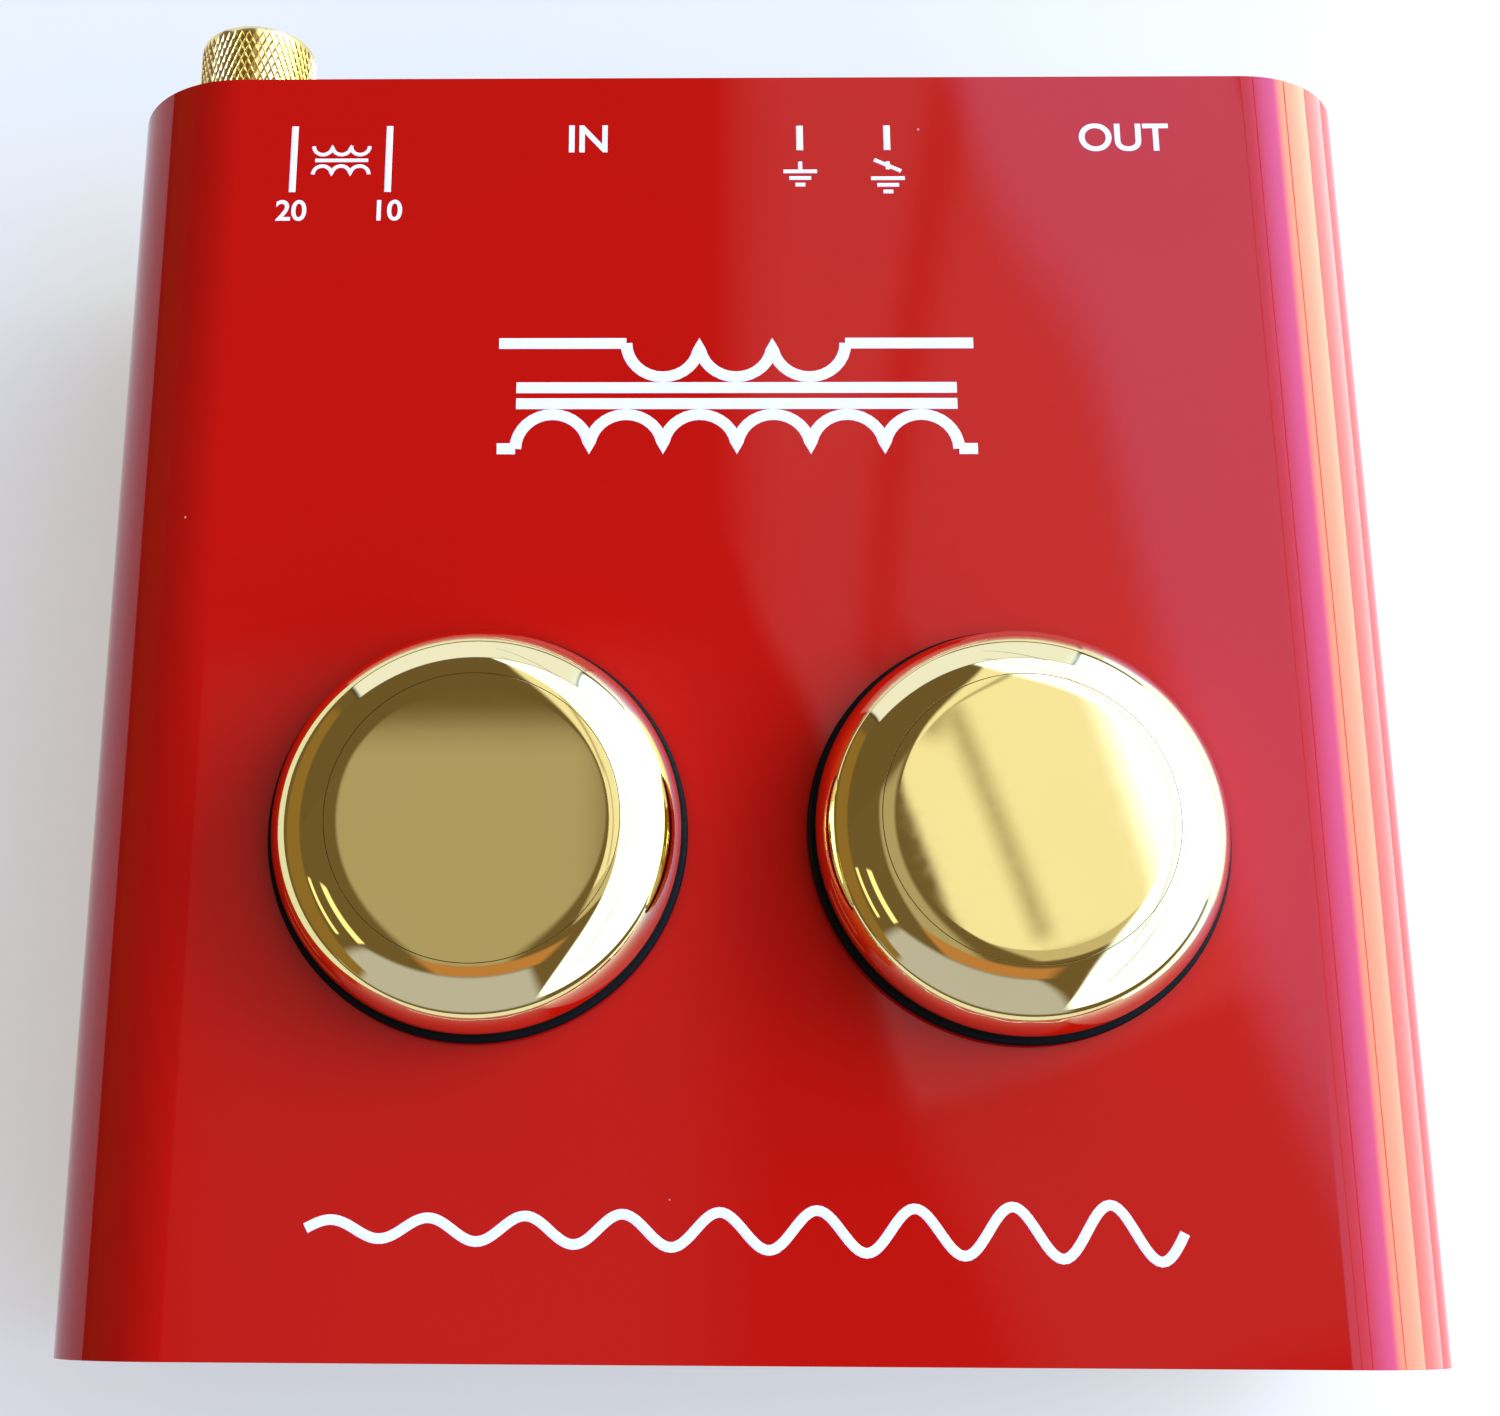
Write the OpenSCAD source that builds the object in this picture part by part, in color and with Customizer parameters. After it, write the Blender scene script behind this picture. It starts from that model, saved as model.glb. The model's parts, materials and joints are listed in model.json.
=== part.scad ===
// Moving-coil step-up transformer: two shielded signal transformers in a bent-sheet case.
// Millimetres. +X is right, +Y is the rear with the connectors, +Z is up.
// The origin is the middle of the whole footprint, on the surface that the feet stand on.

/* [Case] */
// Width over the painted cover
case_w = 127; // [122:1:150]
// Depth of the cover from its front edge to its rear edge
case_d = 126; // [118:1:150]
// Height of the cover, without the feet
case_h = 38; // [36:0.5:48]
// Sheet thickness of the cover
cover_t = 1.2; // [0.8:0.1:1.6]
// Outside radius of the cover's two bends
bend_r = 12.3; // [6:0.1:16]
// Sheet thickness of the base
base_t = 1.2; // [0.8:0.1:1.6]
// How far the end panels stand back from the cover's edges
panel_inset = 0.8; // [0.2:0.1:2]
// Gap between the cover and the base
case_gap = 0.2; // [0.1:0.05:0.4]
// Height of the base's side flanges above the base plate
flange_h = 14; // [11:0.5:20]
// Gap between a side flange and the end panels
flange_relief = 2; // [1:0.5:6]

/* [Feet] */
// Radius of a rubber foot where it meets the base
foot_r = 6.35; // [4:0.05:9]
// Height of a rubber foot
foot_h = 5; // [2:0.5:10]
// How much narrower a foot is where it stands
foot_draft = 0.7; // [0:0.1:1.5]
// Distance of a foot's middle from the case's edges
foot_edge = 13; // [10:0.5:25]

/* [Cover screws] */
// Radius of the threaded part
cover_screw_r = 1.5; // [1:0.1:2]
// Length of the threaded part
cover_screw_len = 6; // [4:0.5:8]
// Radius of the button head
cover_head_r = 2.85; // [2.4:0.05:3.5]
// Height of the button head
cover_head_h = 1.65; // [1:0.05:2.2]
// Height of the screws above the base's lower face
cover_screw_rise = 8; // [6:0.5:11]
// Distance between the two screws of a side
cover_screw_span = 80; // [50:1:100]
// Clearance round a screw that passes through a sheet or a board
screw_clearance = 0.2; // [0.1:0.05:0.4]
// Clearance round a screw's thread in what it is screwed into
thread_clearance = 0.03; // [0.02:0.01:0.05]

/* [Caps] */
// Distance of each cap's middle from the middle of the case
cap_x = 24.85; // [22:0.05:30]
// Distance of the caps' middles from the front edge of the cover
cap_from_front = 46.75; // [40:0.05:60]
// Largest radius of a cap
cap_r = 19; // [18:0.05:21]
// Radius of the rounded shoulder
cap_round = 5.6; // [4:0.1:6.5]
// Height of the cap's flat top above the cover
cap_rise = 8; // [7:0.1:12]
// Thickness of the flat top over the can
cap_lid = 2.4; // [1.5:0.1:4]
// Clearance of the cap's bore round the can
cap_fit = 0.05; // [0.02:0.01:0.1]

/* [Grommets] */
// Outside radius of the ring that a cap stands on
grommet_r = 19.4; // [19:0.1:22]
// Thickness of the ring above the cover
grommet_seat = 1.2; // [0.8:0.1:2]
// Thickness of the lip below the cover
grommet_lip = 1.2; // [0.8:0.1:2.5]
// How far the lip reaches past the hole in the cover
grommet_grip = 1.4; // [0.8:0.1:2]
// Thickness of the rubber between the can and the hole
grommet_wall = 2; // [1.2:0.1:2.4]
// Clearance of the rubber to the sheet and the can
grommet_fit = 0.05; // [0.02:0.01:0.1]

/* [Transformers] */
// Outside radius of a shield can
can_r = 15.1; // [15:0.1:15.6]
// Wall of a shield can
can_wall = 0.8; // [0.5:0.1:1.2]
// Width of a can's three fixing tabs
can_tab_w = 3; // [2:0.5:4]
// Length of the tabs below the board's upper face
can_tab_len = 3; // [2:0.5:4]
// Width of the lamination stack
core_w = 22; // [20:0.5:24]
// Thickness of the lamination stack
core_t = 8; // [6:0.5:9]
// Width of the outer limbs and the yokes
core_limb = 3.5; // [2.5:0.1:3.8]
// Width of the middle limb
core_mid = 7; // [5:0.5:8]
// Room between the core and the can's top
core_head = 3.8; // [1:0.1:8]
// Gap between the core and the board
core_foot = 0.2; // [0.1:0.05:0.5]
// Wall of the bobbin's sleeve and its clearance to the core
bobbin_wall = 0.8; // [0.5:0.1:1]
// Thickness of the bobbin's flanges
bobbin_flange = 1; // [0.6:0.1:1.5]
// Clearance between the core, the bobbin and the coils
coil_gap = 0.1; // [0.05:0.05:0.2]
// Thickness of the primary winding
primary_t = 1.2; // [0.6:0.1:1.4]
// Thickness of the secondary winding
secondary_t = 1.4; // [0.6:0.1:1.6]
// Radius of a bobbin pin
pin_r = 0.4; // [0.3:0.05:0.5]
// Pitch of the bobbin pins
pin_pitch = 3.6; // [2.5:0.1:4]

/* [Board] */
// Distance of the board's side edges from the case's sides
board_side = 7.5; // [6.5:0.1:8]
// Distance of the board's front edge from the cover's front edge
board_front = 23; // [15:0.5:28]
// Gap between the board and the rear panel
board_rear = 0.8; // [0.4:0.1:1.5]
// Thickness of the board
board_t = 1.6; // [1:0.1:2.4]
// Height of the standoffs
board_rise = 6; // [5:0.5:8]
// Distance of the standoffs from the board's side edges
standoff_side = 9; // [6:0.5:10]
// Distance of the front standoffs from the board's front edge
standoff_front = 5; // [4:0.5:8]
// Distance of the rear standoffs from the board's rear edge
standoff_rear = 22; // [18:0.5:26]
// Width of a standoff across its flats
standoff_af = 5; // [4.5:0.1:6]
// Radius of the standoff's end in the base plate
standoff_root_r = 2; // [1.8:0.1:2.2]
// Radius of a board screw's thread
board_screw_r = 1.5; // [1:0.1:1.6]
// Radius of a board screw's head
board_head_r = 2.75; // [2.2:0.05:3.2]
// Height of a board screw's head
board_head_h = 1.8; // [1:0.1:2.4]
// Length of a board screw's thread
board_screw_len = 5.5; // [4:0.5:6]
// Clearance round each pin and leg in the board
lead_clearance = 0.2; // [0.1:0.05:0.3]
// How far pins and legs stand out below the board
lead_stub = 1.5; // [0.8:0.1:2.5]

/* [Phono jacks] */
// Share of the rear panel's free width that lies between the ratio switch and the input pair
input_share = 0.26; // [0.1:0.01:0.4]
// Distance of the output pair's middle from the case's right side
output_edge = 24.6; // [24:0.1:28]
// Distance between the two jacks of a pair
jack_pitch = 14; // [13.5:0.1:15]
// Height of the jacks' axes above the board
jack_rise = 9.7; // [8.5:0.1:11]
// Radius of the shell that the plug grips
shell_r = 4.15; // [4:0.05:4.3]
// Radius of the shell's bore
shell_bore = 3.45; // [3.3:0.05:3.6]
// Length of shell that the plug grips
shell_len = 8.7; // [7:0.1:10]
// Width of the undercut between the gripped length and the shoulder
undercut_w = 0.3; // [0.2:0.05:0.6]
// Depth of that undercut
undercut_d = 0.3; // [0.2:0.05:0.4]
// Radius of the shell's shoulder in the panel
shoulder_r = 4.6; // [4.4:0.05:4.8]
// How far the shoulder stands out of the panel
shoulder_out = 0.6; // [0.3:0.1:1.2]
// Radius of the shell's flange inside its housing
shell_flange_r = 5.2; // [5:0.05:5.5]
// Thickness of that flange
shell_flange_t = 1; // [0.6:0.1:1.5]
// Clearance round the shells in the panel
jack_hole_gap = 0.3; // [0.2:0.05:0.5]
// Clearance between the pieces inside a jack
jack_fit = 0.05; // [0.02:0.01:0.1]
// Depth of the insulator's face inside the shell's mouth
insulator_depth = 1.5; // [0.5:0.1:3]
// Radius of the insulator's collar behind the shell
insulator_collar_r = 4.5; // [4.2:0.1:4.8]
// Length of the insulator's collar
insulator_collar = 3; // [2:0.1:4]
// Outside radius of the centre contact
contact_r = 2.2; // [2.1:0.05:2.4]
// Bore of the centre contact, for the plug's pin
contact_bore = 1.65; // [1.62:0.01:1.7]
// Depth of the contact's bore
contact_depth = 12; // [10:0.5:13]
// Depth of the contact's mouth inside the insulator
contact_recess = 0.8; // [0.4:0.1:2]
// Width of a jack's legs
leg_w = 1; // [0.6:0.1:1.2]
// Thickness of a jack's legs
leg_t = 0.6; // [0.4:0.1:0.8]
// Width of a jack pair's housing past the outer jacks' axes
housing_side = 7; // [6:0.1:8]
// Depth of a housing
housing_d = 11; // [10.5:0.1:13]
// Thickness of a housing's front wall
housing_wall = 2; // [1.5:0.1:2.5]
// Height of a housing above the jacks' axes
housing_above = 7; // [6:0.1:8]
// Radius of a housing screw's thread
jack_screw_r = 1.2; // [1:0.05:1.3]
// Radius of a housing screw's head
jack_head_r = 2.2; // [1.8:0.05:2.3]
// Height of a housing screw's head
jack_head_h = 1.3; // [0.8:0.1:1.8]
// Length of a housing screw's thread
jack_screw_len = 7; // [5:0.5:9]

/* [Switches] */
// Distance of the ratio switch's middle from the case's left side
ratio_edge = 22.9; // [22.5:0.1:26]
// Share of the rear panel's free width that lies between the input pair and the ground-lift switch
lift_share = 0.3; // [0.1:0.01:0.4]
// Width of a switch's steel frame
switch_w = 13.2; // [12.8:0.1:14]
// Height of the frame
switch_h = 7.4; // [7:0.1:8]
// Depth of the frame
switch_d = 7; // [6.8:0.1:8]
// Sheet thickness of the frame
switch_wall = 0.5; // [0.3:0.05:0.6]
// Gap between the frame and the rear panel
switch_panel_gap = 0.2; // [0.1:0.05:0.5]
// Thickness of the terminal base
switch_base_t = 1.2; // [0.8:0.1:1.6]
// Travel of the slider
switch_travel = 4; // [2:0.1:4.2]
// Width of the slider's finger piece
lever_w = 4; // [3:0.1:4.5]
// Height of the finger piece
lever_h = 3.6; // [3:0.1:4]
// How far the finger piece stands out of the rear panel
lever_reach = 4.5; // [2:0.1:7]
// Number of grip grooves on the finger piece
lever_grooves = 3; // [1:1:4]
// Width and depth of a grip groove
groove = 0.4; // [0.2:0.05:0.5]
// Clearance of the finger piece in its slot
lever_gap = 0.8; // [0.4:0.1:1]
// Width of the slider's block inside the frame
carriage_w = 7; // [6:0.1:7.2]
// Depth of the slider's block
carriage_d = 3.2; // [2.5:0.1:3.4]
// Clearance between the slider and the frame
slider_gap = 0.3; // [0.2:0.05:0.4]
// Thickness of the moving contact bridges
bridge_t = 0.5; // [0.3:0.05:0.6]
// Length of a bridge
bridge_w = 5.4; // [4.5:0.1:6]
// Height of a bridge
bridge_h = 1.6; // [1:0.1:2]
// Width and thickness of a switch terminal
terminal = 0.6; // [0.4:0.05:0.7]
// Pitch of the terminals along the switch
terminal_pitch = 3.8; // [3:0.1:4.2]
// Height between the two terminal rows
terminal_rows = 3; // [2.5:0.1:3.4]
// How far behind the switch the lower terminals turn down
terminal_back = 1.2; // [0.8:0.1:2]

/* [Ground post] */
// Distance of the post's axis from the case's left side
post_edge = 9.8; // [9.5:0.1:12]
// Depth of the post's axis below the top of the cover
post_drop = 19.5; // [14:0.1:22]
// Radius of the threaded stud
stud_r = 2; // [1.5:0.1:2.5]
// Thread pitch
stud_pitch = 0.7; // [0.5:0.05:0.8]
// Radius of the stud's collar
collar_r = 5; // [4:0.1:6]
// Thickness of the stud's collar
collar_t = 1.6; // [1:0.1:3]
// Length of thread inside the panel
stud_inside = 9; // [7:0.5:10]
// Length of thread outside the collar
stud_outside = 10.5; // [8:0.1:11.5]
// Radius of the insulating bush's flange
bush_r = 6; // [5:0.1:6.4]
// Thickness of the insulating flange and washer
bush_t = 1; // [0.6:0.1:1.5]
// Wall of the bush's sleeve in the panel
bush_wall = 1; // [0.6:0.1:1.4]
// Clearance between the post's pieces
post_fit = 0.05; // [0.02:0.01:0.08]
// Radius of the inner insulating washer
inner_washer_r = 5.5; // [4.5:0.1:6]
// Radius of the solder tag's ring
tag_r = 4.2; // [3.5:0.1:5]
// Thickness of the solder tag
tag_t = 0.5; // [0.3:0.05:0.8]
// Width of the solder tag's tail
tag_w = 2.4; // [2:0.1:3]
// Length of the solder tag's tail
tag_len = 7; // [6:0.1:8]
// Width of the inner nut across its flats
inner_nut_af = 7; // [6.5:0.1:8]
// Thickness of the inner nut
inner_nut_t = 3.2; // [2.4:0.1:4]
// Radius of the clamping washer
clamp_r = 5.6; // [4.5:0.1:6.2]
// Thickness of the clamping washer
clamp_t = 0.8; // [0.5:0.1:1.2]
// Gap under the clamping washer and under the nut
clamp_gap = 0.2; // [0.1:0.05:0.3]
// Radius of the thumb nut
nut_r = 6.4; // [5.5:0.05:7]
// Length of the thumb nut
nut_len = 12.4; // [11:0.1:14]
// Chamfer of the thumb nut's ends
nut_chamfer = 0.8; // [0.3:0.1:1.2]
// Thickness of the closed end over the stud's tip
nut_end = 1.4; // [0.6:0.1:2]
// Radius of the ground link wire
link_r = 0.5; // [0.3:0.05:0.7]

/* [Hidden] */
$fn = 96;
// Overshoot of a cut past the faces that it opens
cut = 1;

// Heights from the surface that the feet stand on
floor_z = foot_h + base_t;
board_z = floor_z + board_rise;
deck_z = board_z + board_t;
lead_z = board_z - lead_stub;
top_z = foot_h + case_h;
jack_z = deck_z + jack_rise;
switch_z = deck_z + switch_h / 2;
post_z = top_z - post_drop;

// Depths from the middle of the cover
rear_y = case_d / 2;
panel_out_y = rear_y - panel_inset;
panel_in_y = panel_out_y - base_t;
cap_y = cap_from_front - case_d / 2;
board_front_y = board_front - case_d / 2;
board_rear_y = panel_in_y - board_rear;

// Base and board
base_w = case_w - 2 * (cover_t + case_gap);
base_d = case_d - 2 * panel_inset;
panel_h = case_h - cover_t - case_gap;
panel_corner = bend_r - cover_t - case_gap;
board_w = case_w - 2 * board_side;
standoff_x = board_w / 2 - standoff_side;
standoff_ys = [board_front_y + standoff_front, board_rear_y - standoff_rear];
cover_screw_z = foot_h + cover_screw_rise;

// Caps, grommets and cans
hole_r = can_r + grommet_wall;
cap_base_z = top_z + grommet_seat;
can_top_z = top_z + cap_rise - cap_lid;
can_in_r = can_r - can_wall;
can_tab_angles = [90, 210, 330];

// Inside of a transformer
core_z = deck_z + core_foot;
core_top_z = can_top_z - can_wall - core_head;
core_h = core_top_z - core_z;
window_w = (core_w - core_mid) / 2 - core_limb;
sleeve_x = core_mid / 2 + coil_gap + bobbin_wall;
sleeve_y = core_t / 2 + coil_gap + bobbin_wall;
flange_x = core_mid / 2 + window_w - coil_gap;
flange_y = sleeve_y + 2 * coil_gap + primary_t + secondary_t + coil_gap;
spool_z = core_z + core_limb;
spool_top_z = core_top_z - core_limb;
rail_y = core_t / 2 + bobbin_wall + coil_gap;
pin_y = (rail_y + flange_y) / 2;
pin_xs = [for (i = [-1.5, -0.5, 0.5, 1.5]) i * pin_pitch];

// The row on the rear panel, from the ratio switch at its left to the output pair at its right
ratio_x = ratio_edge - case_w / 2;
output_x = case_w / 2 - output_edge;
pair_half = jack_pitch / 2 + housing_side;
row_free = output_x - ratio_x - 3 * pair_half - 1.5 * switch_w;
input_x = ratio_x + switch_w / 2 + input_share * row_free + pair_half;
lift_x = input_x + pair_half + lift_share * row_free + switch_w / 2;

// Jacks
shell_back_y = panel_in_y - housing_wall - shell_flange_t;
shoulder_y = panel_out_y + shoulder_out;
grip_y = shoulder_y + undercut_w;
mouth_y = grip_y + shell_len;
insulator_y = shell_back_y - insulator_collar;
insulator_face_y = mouth_y - insulator_depth;
contact_face_y = insulator_face_y - contact_recess;
contact_back_y = panel_in_y - housing_d + leg_t;
shell_leg_y = shell_back_y + shell_flange_t / 2;
contact_leg_y = contact_back_y + leg_t / 2;
leg_hole_r = leg_w / 2 + lead_clearance;
leg_slot_w = 3 * leg_w;

// Switches
switch_front_y = panel_in_y - switch_panel_gap;
switch_back_y = switch_front_y - switch_d;
carriage_front_y = switch_front_y - switch_wall - slider_gap;
carriage_back_y = carriage_front_y - carriage_d;
slot_w = lever_w + switch_travel + 2 * lever_gap;
slot_h = lever_h + 2 * slider_gap;
lever_end_y = panel_out_y + lever_reach;
terminal_xs = [-terminal_pitch, 0, terminal_pitch];
frame_leg_x = switch_w / 2 - switch_wall / 2;
frame_leg_d = 2 * leg_w;

// Ground post, from the panel outwards
post_x = post_edge - case_w / 2;
collar_y = panel_out_y + bush_t;
clamp_y = collar_y + collar_t + clamp_gap;
nut_y = clamp_y + clamp_t + clamp_gap;
nut_end_y = nut_y + nut_len;
stud_tip_y = collar_y + collar_t + stud_outside;
inner_washer_y = panel_in_y - bush_t;
tag_y = inner_washer_y - tag_t;
inner_nut_y = tag_y - inner_nut_t;
bush_sleeve_r = stud_r + post_fit + bush_wall;
clamp_bore = stud_r + 6 * post_fit;
link_y = tag_y - tag_len + 2 * link_r;
tag_tail_z = post_z - tag_r;

// The cover's middle, so that the whole footprint is centred on the origin
case_y = -(nut_end_y - rear_y) / 2;

// Moves what is drawn about the cover's middle to its place in the whole footprint.
module on_case() {
    translate([0, case_y, 0]) children();
}

// Turns what is drawn up +Z to run along +Y from the given point.
module along_y(x, y, z) {
    translate([x, y, z]) rotate([-90, 0, 0]) children();
}

// A box centred in X and Z, from one depth to another.
module block(x, z, w, h, y0, y1) {
    translate([x - w / 2, y0, z - h / 2]) cube([w, y1 - y0, h]);
}

// A plate outline with its two upper corners rounded, standing on the X axis.
module arch(w, h, r) {
    translate([-w / 2, 0]) square([w, h - r]);
    translate([-w / 2 + r, 0]) square([w - 2 * r, h]);
    for (s = [-1, 1]) translate([s * (w / 2 - r), h - r]) circle(r);
}

// Stands an outline up in the XZ plane, from one depth to another.
module upright(y0, y1) {
    translate([0, y1, 0]) rotate([90, 0, 0]) linear_extrude(y1 - y0) children();
}

// A screw pointing along -Z from the underside of its head, with a hexagon socket.
module button_screw(r, len, head_r, head_h) {
    dome_r = (head_r * head_r + head_h * head_h) / (2 * head_h);
    socket_r = 0.62 * head_r;
    difference() {
        rotate_extrude() intersection() {
            translate([0, head_h - dome_r]) circle(dome_r);
            square([head_r, head_h]);
        }
        translate([0, 0, head_h / 2]) cylinder(r = socket_r, h = head_h, $fn = 6);
    }
    translate([0, 0, -len]) cylinder(r = r, h = len);
}

// The places of the four cover screws, each drawn pointing into the case.
module each_cover_screw(x) {
    for (s = [-1, 1], t = [-1, 1])
        translate([s * x, t * cover_screw_span / 2, cover_screw_z]) rotate([0, s * 90, 0]) children();
}

// The places of the four standoffs.
module each_standoff(z) {
    for (s = [-1, 1], y = standoff_ys) translate([s * standoff_x, y, z]) children();
}

// The middles of both jacks of a pair.
module each_jack(pair_x) {
    for (s = [-1, 1]) translate([pair_x + s * jack_pitch / 2, 0, 0]) children();
}

// Painted bent sheet: the top and both sides.
module top_cover() {
    color("firebrick") on_case() difference() {
        translate([0, 0, foot_h]) upright(-case_d / 2, case_d / 2) difference() {
            arch(case_w, case_h, bend_r);
            translate([0, -cut]) arch(case_w - 2 * cover_t, case_h - cover_t + cut, bend_r - cover_t);
        }
        for (s = [-1, 1]) translate([s * cap_x, cap_y, top_z - cover_t - cut])
            cylinder(r = hole_r, h = cover_t + 2 * cut);
        each_cover_screw(case_w / 2 - cover_t - cut)
            cylinder(r = cover_screw_r + screw_clearance, h = cover_t + 2 * cut);
    }
}

// One bent sheet: the bottom, the front panel and the side flanges.
module base_chassis() {
    color("dimgray") on_case() difference() {
        union() {
            translate([-base_w / 2, -base_d / 2, foot_h]) cube([base_w, base_d - base_t, base_t]);
            translate([0, 0, foot_h])
                upright(-base_d / 2, base_t - base_d / 2) arch(base_w, panel_h, panel_corner);
            for (s = [-1, 1]) translate([s * (base_w - base_t) / 2 - base_t / 2,
                                         -base_d / 2 + base_t + flange_relief, foot_h])
                cube([base_t, base_d - 2 * (base_t + flange_relief), base_t + flange_h]);
        }
        each_standoff(foot_h - cut) cylinder(r = standoff_root_r, h = base_t + 2 * cut);
        each_cover_screw(base_w / 2 - base_t - cut)
            cylinder(r = cover_screw_r + thread_clearance, h = base_t + 2 * cut);
    }
}

// Punched plate for the connectors, welded to the rear edge of the bottom.
module rear_panel() {
    deep = base_t + 2 * cut;
    color("dimgray") on_case() difference() {
        translate([0, 0, foot_h]) upright(panel_in_y, panel_out_y) arch(base_w, panel_h, panel_corner);
        for (pair_x = [input_x, output_x]) {
            each_jack(pair_x) along_y(0, panel_in_y - cut, jack_z)
                cylinder(r = shoulder_r + jack_hole_gap, h = deep);
            along_y(pair_x, panel_in_y - cut, jack_z) cylinder(r = jack_screw_r + screw_clearance, h = deep);
        }
        for (x = [ratio_x, lift_x]) block(x, switch_z, slot_w, slot_h, panel_in_y - cut, panel_out_y + cut);
        along_y(post_x, panel_in_y - cut, post_z) cylinder(r = bush_sleeve_r + post_fit, h = deep);
    }
}

// Four button-head screws through the cover's sides into the flanges.
module cover_screws() {
    color("silver") on_case() each_cover_screw(case_w / 2)
        button_screw(cover_screw_r, cover_screw_len, cover_head_r, cover_head_h);
}

// Four stick-on rubber feet.
module rubber_feet() {
    color("black") on_case() for (s = [-1, 1], t = [-1, 1])
        translate([s * (case_w / 2 - foot_edge), t * (case_d / 2 - foot_edge), 0])
            cylinder(r1 = foot_r - foot_draft, r2 = foot_r, h = foot_h);
}

// Turned and polished cap, pushed over the top of a shield can.
module cap(side) {
    color("gold") on_case() translate([side * cap_x, cap_y, 0]) difference() {
        translate([0, 0, top_z]) rotate_extrude() intersection() {
            union() {
                square([cap_r - cap_round, cap_rise]);
                translate([cap_r - cap_round, cap_rise - cap_round]) circle(cap_round);
            }
            translate([0, grommet_seat]) square([cap_r + cut, cap_rise]);
        }
        translate([0, 0, top_z]) cylinder(r = can_r + cap_fit, h = cap_rise - cap_lid);
    }
}

// Rubber ring that lines the hole in the cover and carries the cap.
module grommet(side) {
    color("black") on_case() translate([side * cap_x, cap_y, top_z]) difference() {
        union() {
            cylinder(r = grommet_r, h = grommet_seat);
            translate([0, 0, -cover_t]) cylinder(r = hole_r - grommet_fit, h = cover_t);
            translate([0, 0, -cover_t - grommet_lip]) cylinder(r = hole_r + grommet_grip, h = grommet_lip);
        }
        translate([0, 0, -cover_t - grommet_lip - cut])
            cylinder(r = can_r + grommet_fit, h = cover_t + grommet_lip + grommet_seat + 2 * cut);
    }
}

// Drawn shield cup, open below, with three tabs through the board.
module shield_can(side) {
    tab_z = deck_z - can_tab_len;
    color("darkgray") on_case() translate([side * cap_x, cap_y, 0]) difference() {
        translate([0, 0, tab_z]) cylinder(r = can_r, h = can_top_z - tab_z);
        translate([0, 0, tab_z - cut]) cylinder(r = can_in_r, h = can_top_z - can_wall - tab_z + cut);
        difference() {
            translate([0, 0, tab_z - cut]) cylinder(r = can_r + cut, h = can_tab_len + cut);
            for (a = can_tab_angles) rotate([0, 0, a]) translate([0, -can_tab_w / 2, tab_z - 2 * cut])
                cube([can_r + 2 * cut, can_tab_w, can_tab_len + 3 * cut]);
        }
    }
}

// Stack of E and I laminations round the bobbin.
module core(side) {
    color("slategray") on_case() translate([side * cap_x, cap_y, core_z]) difference() {
        translate([-core_w / 2, -core_t / 2, 0]) cube([core_w, core_t, core_h]);
        for (s = [-1, 1]) translate([s * (core_mid + window_w) / 2 - window_w / 2, -core_t / 2 - cut, core_limb])
            cube([window_w, core_t + 2 * cut, core_h - 2 * core_limb]);
    }
}

// A rectangular tube round the middle limb, given by its inner and outer half widths.
module limb_ring(inner, outer, z0, z1) {
    translate([0, 0, z0]) linear_extrude(z1 - z0) difference() {
        square(2 * outer, center = true);
        square(2 * inner, center = true);
    }
}

// Moulded bobbin with two pin rails that stand on the board.
module bobbin(side) {
    limb = [core_mid / 2 + coil_gap, core_t / 2 + coil_gap];
    flange = [flange_x, flange_y];
    color("ivory") on_case() translate([side * cap_x, cap_y, 0]) {
        limb_ring(limb, [sleeve_x, sleeve_y], spool_z, spool_top_z);
        limb_ring(limb, flange, spool_z, spool_z + bobbin_flange);
        limb_ring(limb, flange, spool_top_z - bobbin_flange, spool_top_z);
        for (s = [-1, 1]) difference() {
            block(0, (deck_z + spool_z) / 2, 2 * flange_x, spool_z - deck_z,
                  s > 0 ? rail_y : -flange_y, s > 0 ? flange_y : -rail_y);
            for (x = pin_xs) translate([x, s * pin_y, deck_z - cut])
                cylinder(r = pin_r + thread_clearance, h = spool_z - deck_z + cut);
        }
    }
}

// Inner winding.
module primary_coil(side) {
    inner = [sleeve_x + coil_gap, sleeve_y + coil_gap];
    color("chocolate") on_case() translate([side * cap_x, cap_y, 0])
        limb_ring(inner, inner + [primary_t, primary_t],
                  spool_z + bobbin_flange, spool_top_z - bobbin_flange - coil_gap);
}

// Outer winding.
module secondary_coil(side) {
    step = 2 * coil_gap + primary_t;
    inner = [sleeve_x + step, sleeve_y + step];
    outer = [min(inner[0] + secondary_t, flange_x), inner[1] + secondary_t];
    color("peru") on_case() translate([side * cap_x, cap_y, 0])
        limb_ring(inner, outer, spool_z + bobbin_flange, spool_top_z - bobbin_flange - coil_gap);
}

// Eight pins from the bobbin's rails through the board.
module pins(side) {
    color("lightgray") on_case() translate([side * cap_x, cap_y, 0])
        for (x = pin_xs, s = [-1, 1]) translate([x, s * pin_y, lead_z]) cylinder(r = pin_r, h = spool_z - lead_z);
}

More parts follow.
